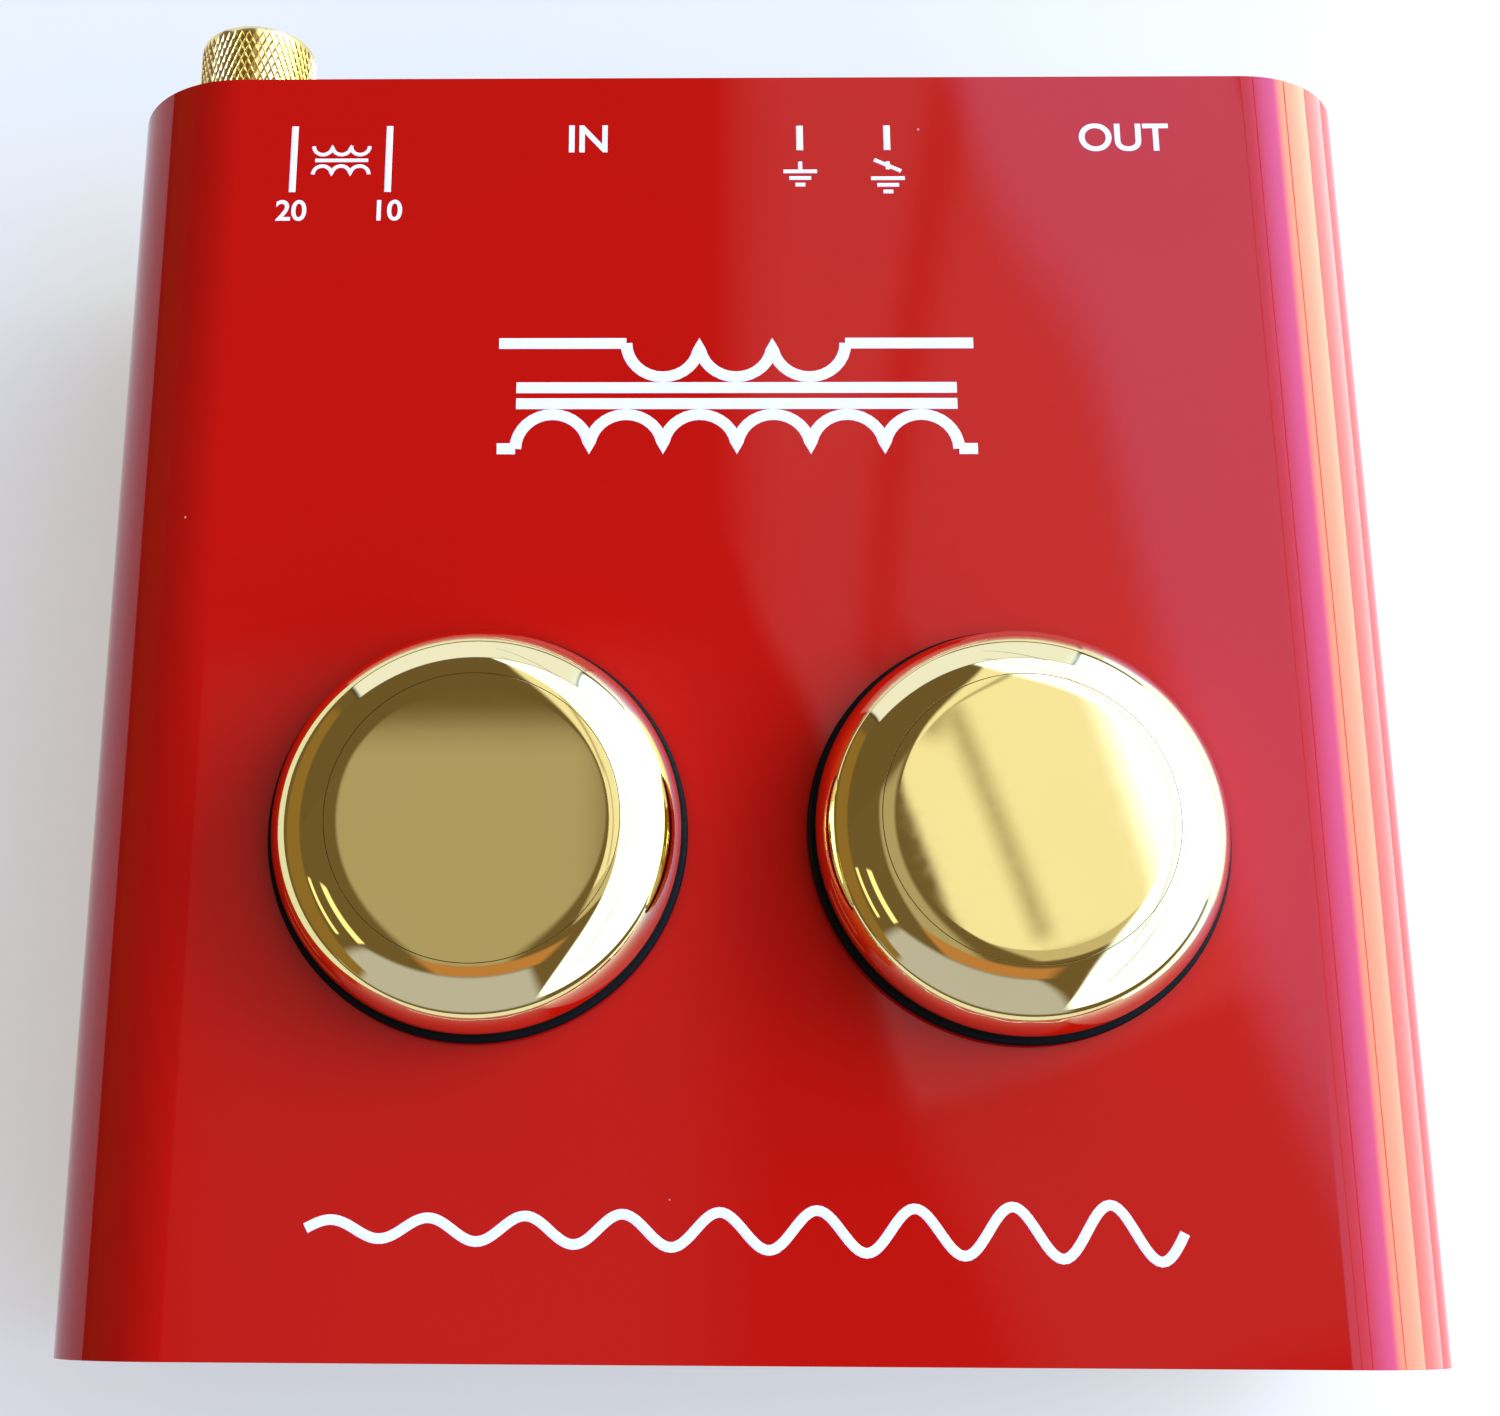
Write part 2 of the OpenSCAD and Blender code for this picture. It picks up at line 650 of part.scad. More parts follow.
// Printed board on four standoffs, drilled for every lead.
module main_board() {
    deep = board_t + 2 * cut;
    color("darkgreen") on_case() difference() {
        translate([-board_w / 2, board_front_y, board_z]) cube([board_w, board_rear_y - board_front_y, board_t]);
        each_standoff(board_z - cut) cylinder(r = board_screw_r + screw_clearance, h = deep);
        for (s = [-1, 1]) translate([s * cap_x, cap_y, board_z - cut]) {
            for (x = pin_xs, t = [-1, 1]) translate([x, t * pin_y, 0])
                cylinder(r = pin_r + lead_clearance, h = deep);
            for (a = can_tab_angles) rotate([0, 0, a])
                translate([can_in_r - lead_clearance - can_wall / 2, -can_tab_w / 2 - lead_clearance, 0])
                    cube([1.5 * can_wall + 2 * lead_clearance, can_tab_w + 2 * lead_clearance, deep]);
        }
        for (pair_x = [input_x, output_x], y = [shell_leg_y, contact_leg_y])
            each_jack(pair_x) translate([0, y, board_z - cut]) cylinder(r = leg_hole_r, h = deep);
        for (x = [ratio_x, lift_x]) {
            for (tx = terminal_xs, row = [0, 1]) translate([x + tx, terminal_y(row), board_z - cut])
                cylinder(r = terminal, h = deep);
            for (s = [-1, 1]) block(x + s * frame_leg_x, board_z + board_t / 2,
                                    switch_wall + 2 * lead_clearance, deep,
                                    switch_back_y - lead_clearance, switch_back_y + frame_leg_d + lead_clearance);
        }
        translate([post_x, link_y, board_z - cut]) cylinder(r = link_r + lead_clearance, h = deep);
    }
}

// Four hexagon standoffs set into the base plate.
module board_standoffs() {
    color("lightgray") on_case() each_standoff(0) difference() {
        union() {
            translate([0, 0, floor_z]) cylinder(d = standoff_af / cos(30), h = board_rise, $fn = 6);
            translate([0, 0, foot_h]) cylinder(r = standoff_root_r, h = base_t);
        }
        translate([0, 0, floor_z]) cylinder(r = board_screw_r + thread_clearance, h = board_rise + cut);
    }
}

// Four screws that hold the board down.
module board_screws() {
    color("silver") on_case() each_standoff(deck_z)
        button_screw(board_screw_r, board_screw_len, board_head_r, board_head_h);
}

// Moulded housing of a pair of jacks, open behind and slotted below for the legs.
module jack_housing(pair_x) {
    back_y = panel_in_y - housing_d;
    cavity_y = panel_in_y - housing_wall;
    color("black") on_case() difference() {
        block(pair_x, (deck_z + jack_z + housing_above) / 2, 2 * pair_half,
              jack_z + housing_above - deck_z, back_y, panel_in_y);
        each_jack(pair_x) {
            along_y(0, back_y - cut, jack_z) cylinder(r = shell_flange_r + 2 * jack_fit, h = cavity_y - back_y + cut);
            along_y(0, cavity_y - cut, jack_z) cylinder(r = shoulder_r + jack_fit, h = housing_wall + 2 * cut);
            translate([-leg_slot_w / 2, back_y - cut, deck_z - cut])
                cube([leg_slot_w, cavity_y - back_y + cut, jack_z - deck_z + cut]);
        }
        along_y(pair_x, panel_in_y - jack_screw_len, jack_z)
            cylinder(r = jack_screw_r + thread_clearance, h = jack_screw_len + cut);
    }
}

// Two screws that hold the jack housings to the rear panel.
module jack_screws() {
    color("silver") on_case() for (pair_x = [input_x, output_x]) along_y(pair_x, panel_out_y, jack_z)
        button_screw(jack_screw_r, jack_screw_len - 2 * thread_clearance, jack_head_r, jack_head_h);
}

// A flat leg from a jack's axis line down through the board.
module jack_leg(y, from_z) {
    translate([-leg_w / 2, y - leg_t / 2, lead_z]) cube([leg_w, leg_t, from_z - lead_z]);
}

// Gold-plated outer contact of a jack.
module jack_shell(x) {
    color("gold") on_case() translate([x, 0, 0]) {
        difference() {
            union() {
                along_y(0, shell_back_y, jack_z) cylinder(r = shell_flange_r, h = shell_flange_t);
                along_y(0, shell_back_y, jack_z) cylinder(r = shoulder_r, h = shoulder_y - shell_back_y);
                along_y(0, shoulder_y, jack_z) cylinder(r = shell_r - undercut_d, h = undercut_w);
                along_y(0, grip_y, jack_z) cylinder(r = shell_r, h = shell_len);
            }
            along_y(0, shell_back_y - cut, jack_z) cylinder(r = shell_bore, h = mouth_y - shell_back_y + 2 * cut);
        }
        jack_leg(shell_leg_y, jack_z - shell_bore - jack_fit);
    }
}

// Coloured insulator inside a shell.
module jack_insulator(x, tint) {
    color(tint) on_case() along_y(x, 0, jack_z) difference() {
        union() {
            translate([0, 0, insulator_y]) cylinder(r = shell_bore - jack_fit, h = insulator_face_y - insulator_y);
            translate([0, 0, insulator_y]) cylinder(r = insulator_collar_r, h = insulator_collar);
        }
        translate([0, 0, insulator_y - cut])
            cylinder(r = contact_r + jack_fit, h = insulator_face_y - insulator_y + 2 * cut);
    }
}

// Sprung centre contact of a jack.
module jack_contact(x) {
    color("gold") on_case() translate([x, 0, 0]) {
        along_y(0, 0, jack_z) difference() {
            translate([0, 0, contact_back_y]) cylinder(r = contact_r, h = contact_face_y - contact_back_y);
            translate([0, 0, contact_face_y - contact_depth]) cylinder(r = contact_bore, h = contact_depth + cut);
        }
        jack_leg(contact_leg_y, jack_z);
    }
}

// Depth at which a row of switch terminals turns down, the lower row (0) nearest to the switch.
function terminal_y(row) = switch_back_y - (1 + row) * (terminal_back + terminal);

// Folded steel frame of a switch, open behind, with two legs in the board.
module switch_frame(x) {
    inner_w = switch_w - 2 * switch_wall;
    inner_h = switch_h - 2 * switch_wall;
    color("silver") on_case() {
        difference() {
            block(x, switch_z, switch_w, switch_h, switch_back_y, switch_front_y);
            block(x, switch_z, inner_w, inner_h, switch_back_y - cut, switch_front_y - switch_wall);
            block(x, switch_z, slot_w, slot_h, switch_front_y - switch_wall - cut, switch_front_y + cut);
        }
        for (s = [-1, 1]) block(x + s * frame_leg_x, (lead_z + deck_z) / 2, switch_wall, deck_z - lead_z,
                                switch_back_y, switch_back_y + frame_leg_d);
    }
}

// Terminal base that closes the back of a switch.
module switch_base(x) {
    color("saddlebrown") on_case() difference() {
        block(x, switch_z, switch_w - 2 * switch_wall, switch_h - 2 * switch_wall,
              switch_back_y, switch_back_y + switch_base_t);
        for (tx = terminal_xs, s = [-1, 1]) block(x + tx, switch_z + s * terminal_rows / 2, terminal, terminal,
                                                  switch_back_y - cut, switch_back_y + switch_base_t + cut);
    }
}

// Moulded slider with its grooved finger piece, at its left-hand position.
module switch_slider(x) {
    at_x = x - switch_travel / 2;
    carriage_h = switch_h - 2 * switch_wall - 2 * slider_gap;
    color("black") on_case() difference() {
        union() {
            block(at_x, switch_z, carriage_w, carriage_h, carriage_back_y, carriage_front_y);
            block(at_x, switch_z, lever_w, lever_h, carriage_back_y, lever_end_y);
        }
        for (i = [1:lever_grooves]) block(at_x - lever_w / 2 + i * lever_w / (lever_grooves + 1), switch_z,
                                          groove, lever_h + 2 * cut, lever_end_y - groove, lever_end_y + cut);
    }
}

// Two moving contacts on the back of a slider.
module switch_bridges(x) {
    color("goldenrod") on_case() for (s = [-1, 1])
        block(x - switch_travel / 2, switch_z + s * terminal_rows / 2, bridge_w, bridge_h,
              carriage_back_y - bridge_t, carriage_back_y);
}

// Six terminals through a switch's base, turned down into the board.
module switch_terminals(x) {
    color("lightgray") on_case() for (tx = terminal_xs, row = [0, 1]) {
        z = switch_z + (row - 0.5) * terminal_rows;
        block(x + tx, z, terminal, terminal, terminal_y(row) - terminal / 2, switch_back_y + switch_base_t);
        block(x + tx, (z + lead_z) / 2, terminal, z - lead_z,
              terminal_y(row) - terminal / 2, terminal_y(row) + terminal / 2);
    }
}

// Threaded stud with its collar outside the panel.
module ground_stud() {
    color("gold") on_case() {
        along_y(post_x, collar_y, post_z) cylinder(r = collar_r, h = collar_t);
        along_y(post_x, panel_in_y - stud_inside, post_z)
            cylinder(r = stud_r, h = stud_tip_y - panel_in_y + stud_inside);
    }
}

// Insulating bush with a flange outside the panel.
module ground_bush() {
    color("black") on_case() difference() {
        union() {
            along_y(post_x, panel_out_y, post_z) cylinder(r = bush_r, h = bush_t);
            along_y(post_x, panel_in_y, post_z) cylinder(r = bush_sleeve_r, h = base_t);
        }
        along_y(post_x, panel_in_y - cut, post_z) cylinder(r = stud_r + post_fit, h = base_t + bush_t + 2 * cut);
    }
}

// A flat ring on the stud.
module stud_washer(y, r, bore, t) {
    along_y(post_x, y, post_z) difference() {
        cylinder(r = r, h = t);
        translate([0, 0, -cut]) cylinder(r = bore, h = t + 2 * cut);
    }
}

// Insulating washer inside the panel.
module ground_inner_washer() {
    color("black") on_case() stud_washer(inner_washer_y, inner_washer_r, stud_r + post_fit, bush_t);
}

// Solder tag with its tail bent forward over the board.
module ground_tag() {
    color("gold") on_case() {
        stud_washer(tag_y, tag_r, stud_r + post_fit, tag_t);
        difference() {
            translate([post_x - tag_w / 2, tag_y - tag_len, tag_tail_z]) cube([tag_w, tag_len + tag_t, tag_t]);
            translate([post_x, link_y, tag_tail_z - cut]) cylinder(r = link_r + post_fit, h = tag_t + 2 * cut);
        }
    }
}

// Hexagon nut that holds the stud.
module ground_inner_nut() {
    color("gold") on_case() along_y(post_x, inner_nut_y, post_z) difference() {
        cylinder(d = inner_nut_af / cos(30), h = inner_nut_t, $fn = 6);
        translate([0, 0, -cut]) cylinder(r = stud_r + thread_clearance, h = inner_nut_t + 2 * cut);
    }
}

// Loose washer that the thumb nut pushes down on a wire.
module ground_clamp_washer() {
    color("gold") on_case() stud_washer(clamp_y, clamp_r, clamp_bore, clamp_t);
}

// Thumb nut with a closed end.
module ground_nut() {
    color("gold") on_case() along_y(post_x, nut_y, post_z) difference() {
        rotate_extrude() polygon([
            [0, 0], [nut_r - nut_chamfer, 0], [nut_r, nut_chamfer],
            [nut_r, nut_len - nut_chamfer], [nut_r - nut_chamfer, nut_len], [0, nut_len]
        ]);
        translate([0, 0, -cut]) cylinder(r = stud_r + post_fit, h = nut_len - nut_end + cut);
    }
}

// Bare wire from the solder tag to the board.
module ground_link() {
    color("lightgray") on_case() translate([post_x, link_y, lead_z])
        cylinder(r = link_r, h = tag_tail_z + tag_t + link_r - lead_z);
}

top_cover();
base_chassis();
rear_panel();
cover_screws();
rubber_feet();
cap(-1);  // left_cap
cap(1);  // right_cap
grommet(-1);  // left_grommet
grommet(1);  // right_grommet
shield_can(-1);  // left_shield_can
shield_can(1);  // right_shield_can
core(-1);  // left_core
core(1);  // right_core
bobbin(-1);  // left_bobbin
bobbin(1);  // right_bobbin
primary_coil(-1);  // left_primary_coil
primary_coil(1);  // right_primary_coil
secondary_coil(-1);  // left_secondary_coil
secondary_coil(1);  // right_secondary_coil
pins(-1);  // left_pins
pins(1);  // right_pins
main_board();
board_standoffs();
board_screws();
jack_housing(input_x);  // input_jack_housing
jack_housing(output_x);  // output_jack_housing
jack_screws();
jack_shell(input_x - jack_pitch / 2);  // input_left_shell
jack_shell(input_x + jack_pitch / 2);  // input_right_shell
jack_shell(output_x - jack_pitch / 2);  // output_left_shell
jack_shell(output_x + jack_pitch / 2);  // output_right_shell
jack_insulator(input_x - jack_pitch / 2, "white");  // input_left_insulator
jack_insulator(input_x + jack_pitch / 2, "red");  // input_right_insulator
jack_insulator(output_x - jack_pitch / 2, "white");  // output_left_insulator
jack_insulator(output_x + jack_pitch / 2, "red");  // output_right_insulator
jack_contact(input_x - jack_pitch / 2);  // input_left_contact
jack_contact(input_x + jack_pitch / 2);  // input_right_contact
jack_contact(output_x - jack_pitch / 2);  // output_left_contact
jack_contact(output_x + jack_pitch / 2);  // output_right_contact
switch_frame(ratio_x);  // ratio_switch_frame
switch_base(ratio_x);  // ratio_switch_base
switch_slider(ratio_x);  // ratio_switch_slider
switch_bridges(ratio_x);  // ratio_switch_bridges
switch_terminals(ratio_x);  // ratio_switch_terminals
switch_frame(lift_x);  // lift_switch_frame
switch_base(lift_x);  // lift_switch_base
switch_slider(lift_x);  // lift_switch_slider
switch_bridges(lift_x);  // lift_switch_bridges
switch_terminals(lift_x);  // lift_switch_terminals
ground_stud();
ground_bush();
ground_inner_washer();
ground_tag();
ground_inner_nut();
ground_clamp_washer();
ground_nut();
ground_link();
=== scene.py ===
"""Looks of a small audio step-up transformer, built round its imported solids.

Sizes are in millimetres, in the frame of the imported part: +X right, +Y to the rear, +Z up.
MM turns them into Blender's metres where a mesh is made.
"""

import json
import logging
import math
from dataclasses import dataclass, field
from enum import Enum
from typing import Callable, Iterable, Sequence

import bmesh
import bpy
from mathutils import Euler, Matrix, Vector


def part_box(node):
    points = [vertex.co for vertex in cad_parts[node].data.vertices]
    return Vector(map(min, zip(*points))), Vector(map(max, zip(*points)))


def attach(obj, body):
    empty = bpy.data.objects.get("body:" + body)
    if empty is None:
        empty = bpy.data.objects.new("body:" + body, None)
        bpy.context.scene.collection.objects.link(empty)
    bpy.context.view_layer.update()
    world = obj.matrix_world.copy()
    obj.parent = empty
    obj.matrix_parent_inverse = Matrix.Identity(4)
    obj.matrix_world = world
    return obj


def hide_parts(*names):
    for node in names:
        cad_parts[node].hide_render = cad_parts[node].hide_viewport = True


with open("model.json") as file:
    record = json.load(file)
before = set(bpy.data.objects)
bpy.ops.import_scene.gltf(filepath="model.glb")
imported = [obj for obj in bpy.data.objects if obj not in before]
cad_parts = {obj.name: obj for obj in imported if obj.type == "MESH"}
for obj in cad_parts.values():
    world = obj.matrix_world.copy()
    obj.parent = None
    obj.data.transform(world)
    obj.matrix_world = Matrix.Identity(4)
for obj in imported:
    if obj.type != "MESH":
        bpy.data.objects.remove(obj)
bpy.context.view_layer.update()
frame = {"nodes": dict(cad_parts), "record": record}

log = logging.getLogger("transformer")

MM = 0.001
# Vertices closer than this, in metres, are one vertex.
WELD = 2e-7
# Sizes that differ by less than this, in millimetres, are the same.
SAME = 0.002
# The length of a punch or drill, more than any sheet that it goes through.
PUNCH = 6.0
# How far a cutter runs past what it cuts.
OVERCUT = 1.0

Object = bpy.types.Object
Material = bpy.types.Material
Node = bpy.types.Node
Tree = bpy.types.NodeTree
Socket = bpy.types.NodeSocket
Point = tuple[float, float]
Place = tuple[float, float, float]
Test = Callable[[list[Vector], Vector], bool]

SLOT_OF = {part["node"]: part["material_slot"] for part in frame["record"]["subparts"]}
BODY_OF = {node: body for body, nodes in frame["record"]["behaviour"]["bodies"].items() for node in nodes}


class Part(Enum):
    """What a selection in edit mode is made of."""

    VERT = "verts"
    EDGE = "edges"
    FACE = "faces"


class Axis(Enum):
    """The way that a turned piece points, as the turn that brings +Z there."""

    UP = (0.0, 0.0, 0.0)
    REAR = (-math.pi / 2, 0.0, 0.0)
    RIGHT = (0.0, math.pi / 2, 0.0)
    LEFT = (0.0, -math.pi / 2, 0.0)


# Modelling by hand: small steps that the pieces share


def let_go() -> None:
    """Leave edit mode with nothing selected, so that an operator sees only the next piece."""
    if bpy.context.object is not None and bpy.context.object.mode != "OBJECT":
        bpy.ops.object.mode_set(mode="OBJECT")
    bpy.ops.object.select_all(action="DESELECT")


def take(*pieces: Object) -> None:
    """Select these pieces alone, the first one active."""
    let_go()
    for piece in pieces:
        piece.select_set(True)
    bpy.context.view_layer.objects.active = pieces[0]


def choose(part: Part, test: Test) -> None:
    """Select the elements of the mesh being edited that pass a test.

    Args:
        part: vertices, edges or faces.
        test: called with the element's points in millimetres and its normal.
    """
    bpy.ops.mesh.select_mode(type=part.name)
    bpy.ops.mesh.select_all(action="DESELECT")
    data = bpy.context.object.data
    mesh = bmesh.from_edit_mesh(data)
    mesh.normal_update()
    for element in getattr(mesh, part.value):
        points = [element] if part is Part.VERT else element.verts
        normal = Vector() if part is Part.EDGE else element.normal
        element.select_set(test([point.co / MM for point in points], normal))
    mesh.select_flush_mode()
    bmesh.update_edit_mesh(data)


def near(a: float, b: float) -> bool:
    """Whether two sizes in millimetres are the same."""
    return abs(a - b) < SAME


def is_side_edge(points: list[Vector], high: Vector) -> bool:
    """Whether an edge of a box centred across runs front to back along the top of one of its sides."""
    a, b = points
    return near(abs(a.x), high.x) and near(a.x, b.x) and near(a.z, high.z) and near(b.z, high.z)


def apply_modifier(piece: Object, kind: str, **settings) -> None:
    """Add a modifier with its settings and apply it.

    Args:
        piece: the piece that gets it.
        kind: Blender's name of the modifier's kind.
        **settings: the modifier's own values.
    """
    take(piece)
    modifier = piece.modifiers.new(kind, kind)
    for name, value in settings.items():
        setattr(modifier, name, value)
    bpy.ops.object.modifier_apply(modifier=modifier.name)


def put(piece: Object, place: Place, axis: Axis = Axis.UP) -> Object:
    """Turn and move a piece that was modelled at the origin, and keep its place in its mesh.

    Args:
        piece: the piece.
        place: where its origin goes.
        axis: the way that its +Z goes.

    Returns:
        The piece.
    """
    take(piece)
    piece.rotation_euler = axis.value
    piece.location = Vector(place) * MM
    bpy.ops.object.transform_apply(location=True, rotation=True, scale=True)
    return piece


def smooth(piece: Object, angle: float = 35) -> Object:
    """Shade a piece smooth, with its edges sharp above an angle in degrees."""
    take(piece)
    bpy.ops.object.shade_smooth_by_angle(angle=math.radians(angle))
    return piece


def wire(name: str, points: Sequence[Place]) -> Object:
    """Draw a line by extruding one vertex from point to point.

    Args:
        name: the piece's name.
        points: the points that it runs through.

    Returns:
        The line, still in edit mode.
    """
    let_go()
    bpy.ops.mesh.primitive_plane_add(size=MM)
    piece = bpy.context.object
    piece.name = name
    bpy.ops.object.mode_set(mode="EDIT")
    bpy.ops.mesh.select_mode(type="VERT")
    bpy.ops.mesh.select_all(action="SELECT")
    bpy.ops.mesh.merge(type="CENTER")
    bpy.ops.transform.translate(value=Vector(points[0]) * MM)
    for start, end in zip(points, points[1:]):
        step = (Vector(end) - Vector(start)) * MM
        bpy.ops.mesh.extrude_vertices_move(TRANSFORM_OT_translate={"value": step})
    return piece


def turned(name: str, profile: Sequence[Point], steps: int = 96) -> Object:
    """Spin a profile about +Z, as on a lathe.

    Args:
        name: the piece's name.
        profile: radius and height of each point, from the axis to the axis, or round to its start for a ring.
        steps: facets round the piece.

    Returns:
        The closed piece, at the origin.
    """
    piece = wire(name, [(radius, 0, height) for radius, height in profile])
    bpy.ops.mesh.select_all(action="SELECT")
    bpy.ops.mesh.spin(steps=steps, angle=math.tau, center=(0, 0, 0), axis=(0, 0, 1))
    bpy.ops.mesh.select_all(action="SELECT")
    bpy.ops.mesh.remove_doubles(threshold=WELD)
    bpy.ops.mesh.normals_make_consistent(inside=False)
    bpy.ops.object.mode_set(mode="OBJECT")
    return piece


def arc(centre: Point, radius: float, start: float, end: float, steps: int) -> list[Point]:
    """Points of an arc, its angles in degrees from the +radius direction towards +height."""
    angles = [math.radians(start + (end - start) * i / steps) for i in range(steps + 1)]
    return [(centre[0] + radius * math.cos(a), centre[1] + radius * math.sin(a)) for a in angles]


def block(name: str, low: Place, high: Place) -> Object:
    """Add a box between two corners, its place in its mesh."""
    let_go()
    low_v, high_v = Vector(low) * MM, Vector(high) * MM
    bpy.ops.mesh.primitive_cube_add(size=1, location=(low_v + high_v) / 2, scale=high_v - low_v)
    piece = bpy.context.object
    piece.name = name
    bpy.ops.object.transform_apply(location=True, rotation=True, scale=True)
    return piece


def rod(name: str, radius: float, length: float, sides: int = 64) -> Object:
    """Add a cylinder round the origin, along Z, as a cutter."""
    let_go()
    bpy.ops.mesh.primitive_cylinder_add(vertices=sides, radius=radius * MM, depth=length * MM)
    bpy.context.object.name = name
    return bpy.context.object


def combine(piece: Object, tool: Object, operation: str = "DIFFERENCE") -> None:
    """Cut a tool out of a piece or join it on, and throw the tool away."""
    apply_modifier(piece, "BOOLEAN", object=tool, operation=operation, solver="EXACT")
    bpy.data.objects.remove(tool)


def soften(piece: Object, width: float, segments: int = 2, angle: float = 50) -> None:
    """Round every edge of a piece that is sharper than an angle in degrees."""
    apply_modifier(piece, "BEVEL", width=width * MM, segments=segments, limit_method="ANGLE",
                   angle_limit=math.radians(angle), use_clamp_overlap=True)


def copies(piece: Object, places: Iterable[tuple[Place, Axis]]) -> Object:
    """Put copies of a piece that was modelled at the origin in their places, and join them.

    Args:
        piece: the first of them.
        places: where each one goes and which way it points.

    Returns:
        All of them as one piece.
    """
    row = []
    for place, axis in places:
        take(piece)
        bpy.ops.object.duplicate()
        row.append(put(bpy.context.object, place, axis))
    name = piece.name
    bpy.data.objects.remove(piece)
    take(*row)
    bpy.ops.object.join()
    row[0].name = name
    return row[0]


def middle(node: str) -> Vector:
    """The middle of a CAD node's box, in millimetres."""
    low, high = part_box(node)
    return (low + high) / 2 / MM


def corners(node: str) -> tuple[Vector, Vector]:
    """The lowest and highest corner of a CAD node's box, in millimetres."""
    low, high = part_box(node)
    return low / MM, high / MM


# Finishes


def linear(code: str) -> tuple[float, float, float, float]:
    """Turn an sRGB hex colour into linear red, green, blue and alpha."""
    channels = [int(code[i:i + 2], 16) / 255 for i in (1, 3, 5)]
    red, green, blue = [c / 12.92 if c <= 0.04045 else ((c + 0.055) / 1.055) ** 2.4 for c in channels]
    return red, green, blue, 1.0


def per_mm(size: float) -> float:
    """The texture scale, on Object coordinates in metres, of a pattern whose unit is so many millimetres."""
    return 1 / (size * MM)


def add_node(tree: Tree, kind: str, inputs: dict | None = None, **settings) -> Node:
    """Add a node with its settings, and fill or link its inputs.

    Args:
        tree: the node tree.
        kind: the node's type.
        inputs: for each socket, by name or number, a value or the output that feeds it.
        **settings: the node's own values.

    Returns:
        The node.
    """
    node = tree.nodes.new(kind)
    for name, value in settings.items():
        setattr(node, name, value)
    for socket, value in (inputs or {}).items():
        if isinstance(value, Socket):
            tree.links.new(value, node.inputs[socket])
        else:
            node.inputs[socket].default_value = value
    return node


# Sockets of a Mix node that mixes colours
MIX_A, MIX_B, MIX_OUT = 6, 7, 2
# Nearly all of a noise lies between these values.
NOISE_LOW, NOISE_HIGH = 0.3, 0.7
# The least roughness that a finish gets.
SMOOTHEST = 0.02


@dataclass(frozen=True)
class Finish:
    """A surface whose colour, gloss and relief vary a little, as real ones do.

    The grain is the noise that the eye reads as the surface's texture, the drift a slow change of colour.
    """

    name: str
    colour: str
    shade: str
    roughness: float
    gloss_spread: float = 0.06
    metallic: float = 0.0
    ior: float = 1.5
    grain: float = 0.5
    relief: float = 0.01
    drift: float = 12.0
    stretch: Place = (1.0, 1.0, 1.0)
    coat: float = 0.0
    coat_roughness: float = 0.03

    def material(self) -> Material:
        """Make the material, or find it if it is there already."""
        found = bpy.data.materials.get(self.name)
        if found is not None:
            return found
        made = bpy.data.materials.new(self.name)
        made.use_nodes = True
        made.diffuse_color = linear(self.colour)
        tree = made.node_tree
        shader = tree.nodes["Principled BSDF"]
        for socket, value in {"Metallic": self.metallic, "IOR": self.ior, "Coat Weight": self.coat,
                              "Coat Roughness": self.coat_roughness}.items():
            shader.inputs[socket].default_value = value
        self.weave(tree, shader)
        return made

    def tint(self, tree: Tree, place: Socket) -> Socket:
        """The colour, which drifts slowly towards its shade."""
        drift = add_node(tree, "ShaderNodeTexNoise", {
            "Vector": place, "Scale": per_mm(self.drift), "Detail": 1.0})
        mixed = add_node(tree, "ShaderNodeMix", {
            0: drift.outputs["Fac"], MIX_A: linear(self.colour), MIX_B: linear(self.shade)}, data_type="RGBA")
        return mixed.outputs[MIX_OUT]

    def weave(self, tree: Tree, shader: Node) -> None:
        """Link the colour, gloss and relief to the shader."""
        place = add_node(tree, "ShaderNodeTexCoord").outputs["Object"]
        spread = add_node(tree, "ShaderNodeMapping", {"Vector": place, "Scale": self.stretch})
        grain = add_node(tree, "ShaderNodeTexNoise", {
            "Vector": spread.outputs[0], "Scale": per_mm(self.grain), "Detail": 2.0, "Roughness": 0.5})
        gloss = add_node(tree, "ShaderNodeMapRange", {
            "Value": grain.outputs["Fac"], "From Min": NOISE_LOW, "From Max": NOISE_HIGH,
            "To Min": max(SMOOTHEST, self.roughness - self.gloss_spread),
            "To Max": self.roughness + self.gloss_spread})
        bump = add_node(tree, "ShaderNodeBump", {
            "Height": grain.outputs["Fac"], "Strength": 1.0, "Distance": self.relief * MM})
        tree.links.new(self.tint(tree, place), shader.inputs["Base Color"])
        tree.links.new(gloss.outputs["Result"], shader.inputs["Roughness"])
        tree.links.new(bump.outputs["Normal"], shader.inputs["Normal"])


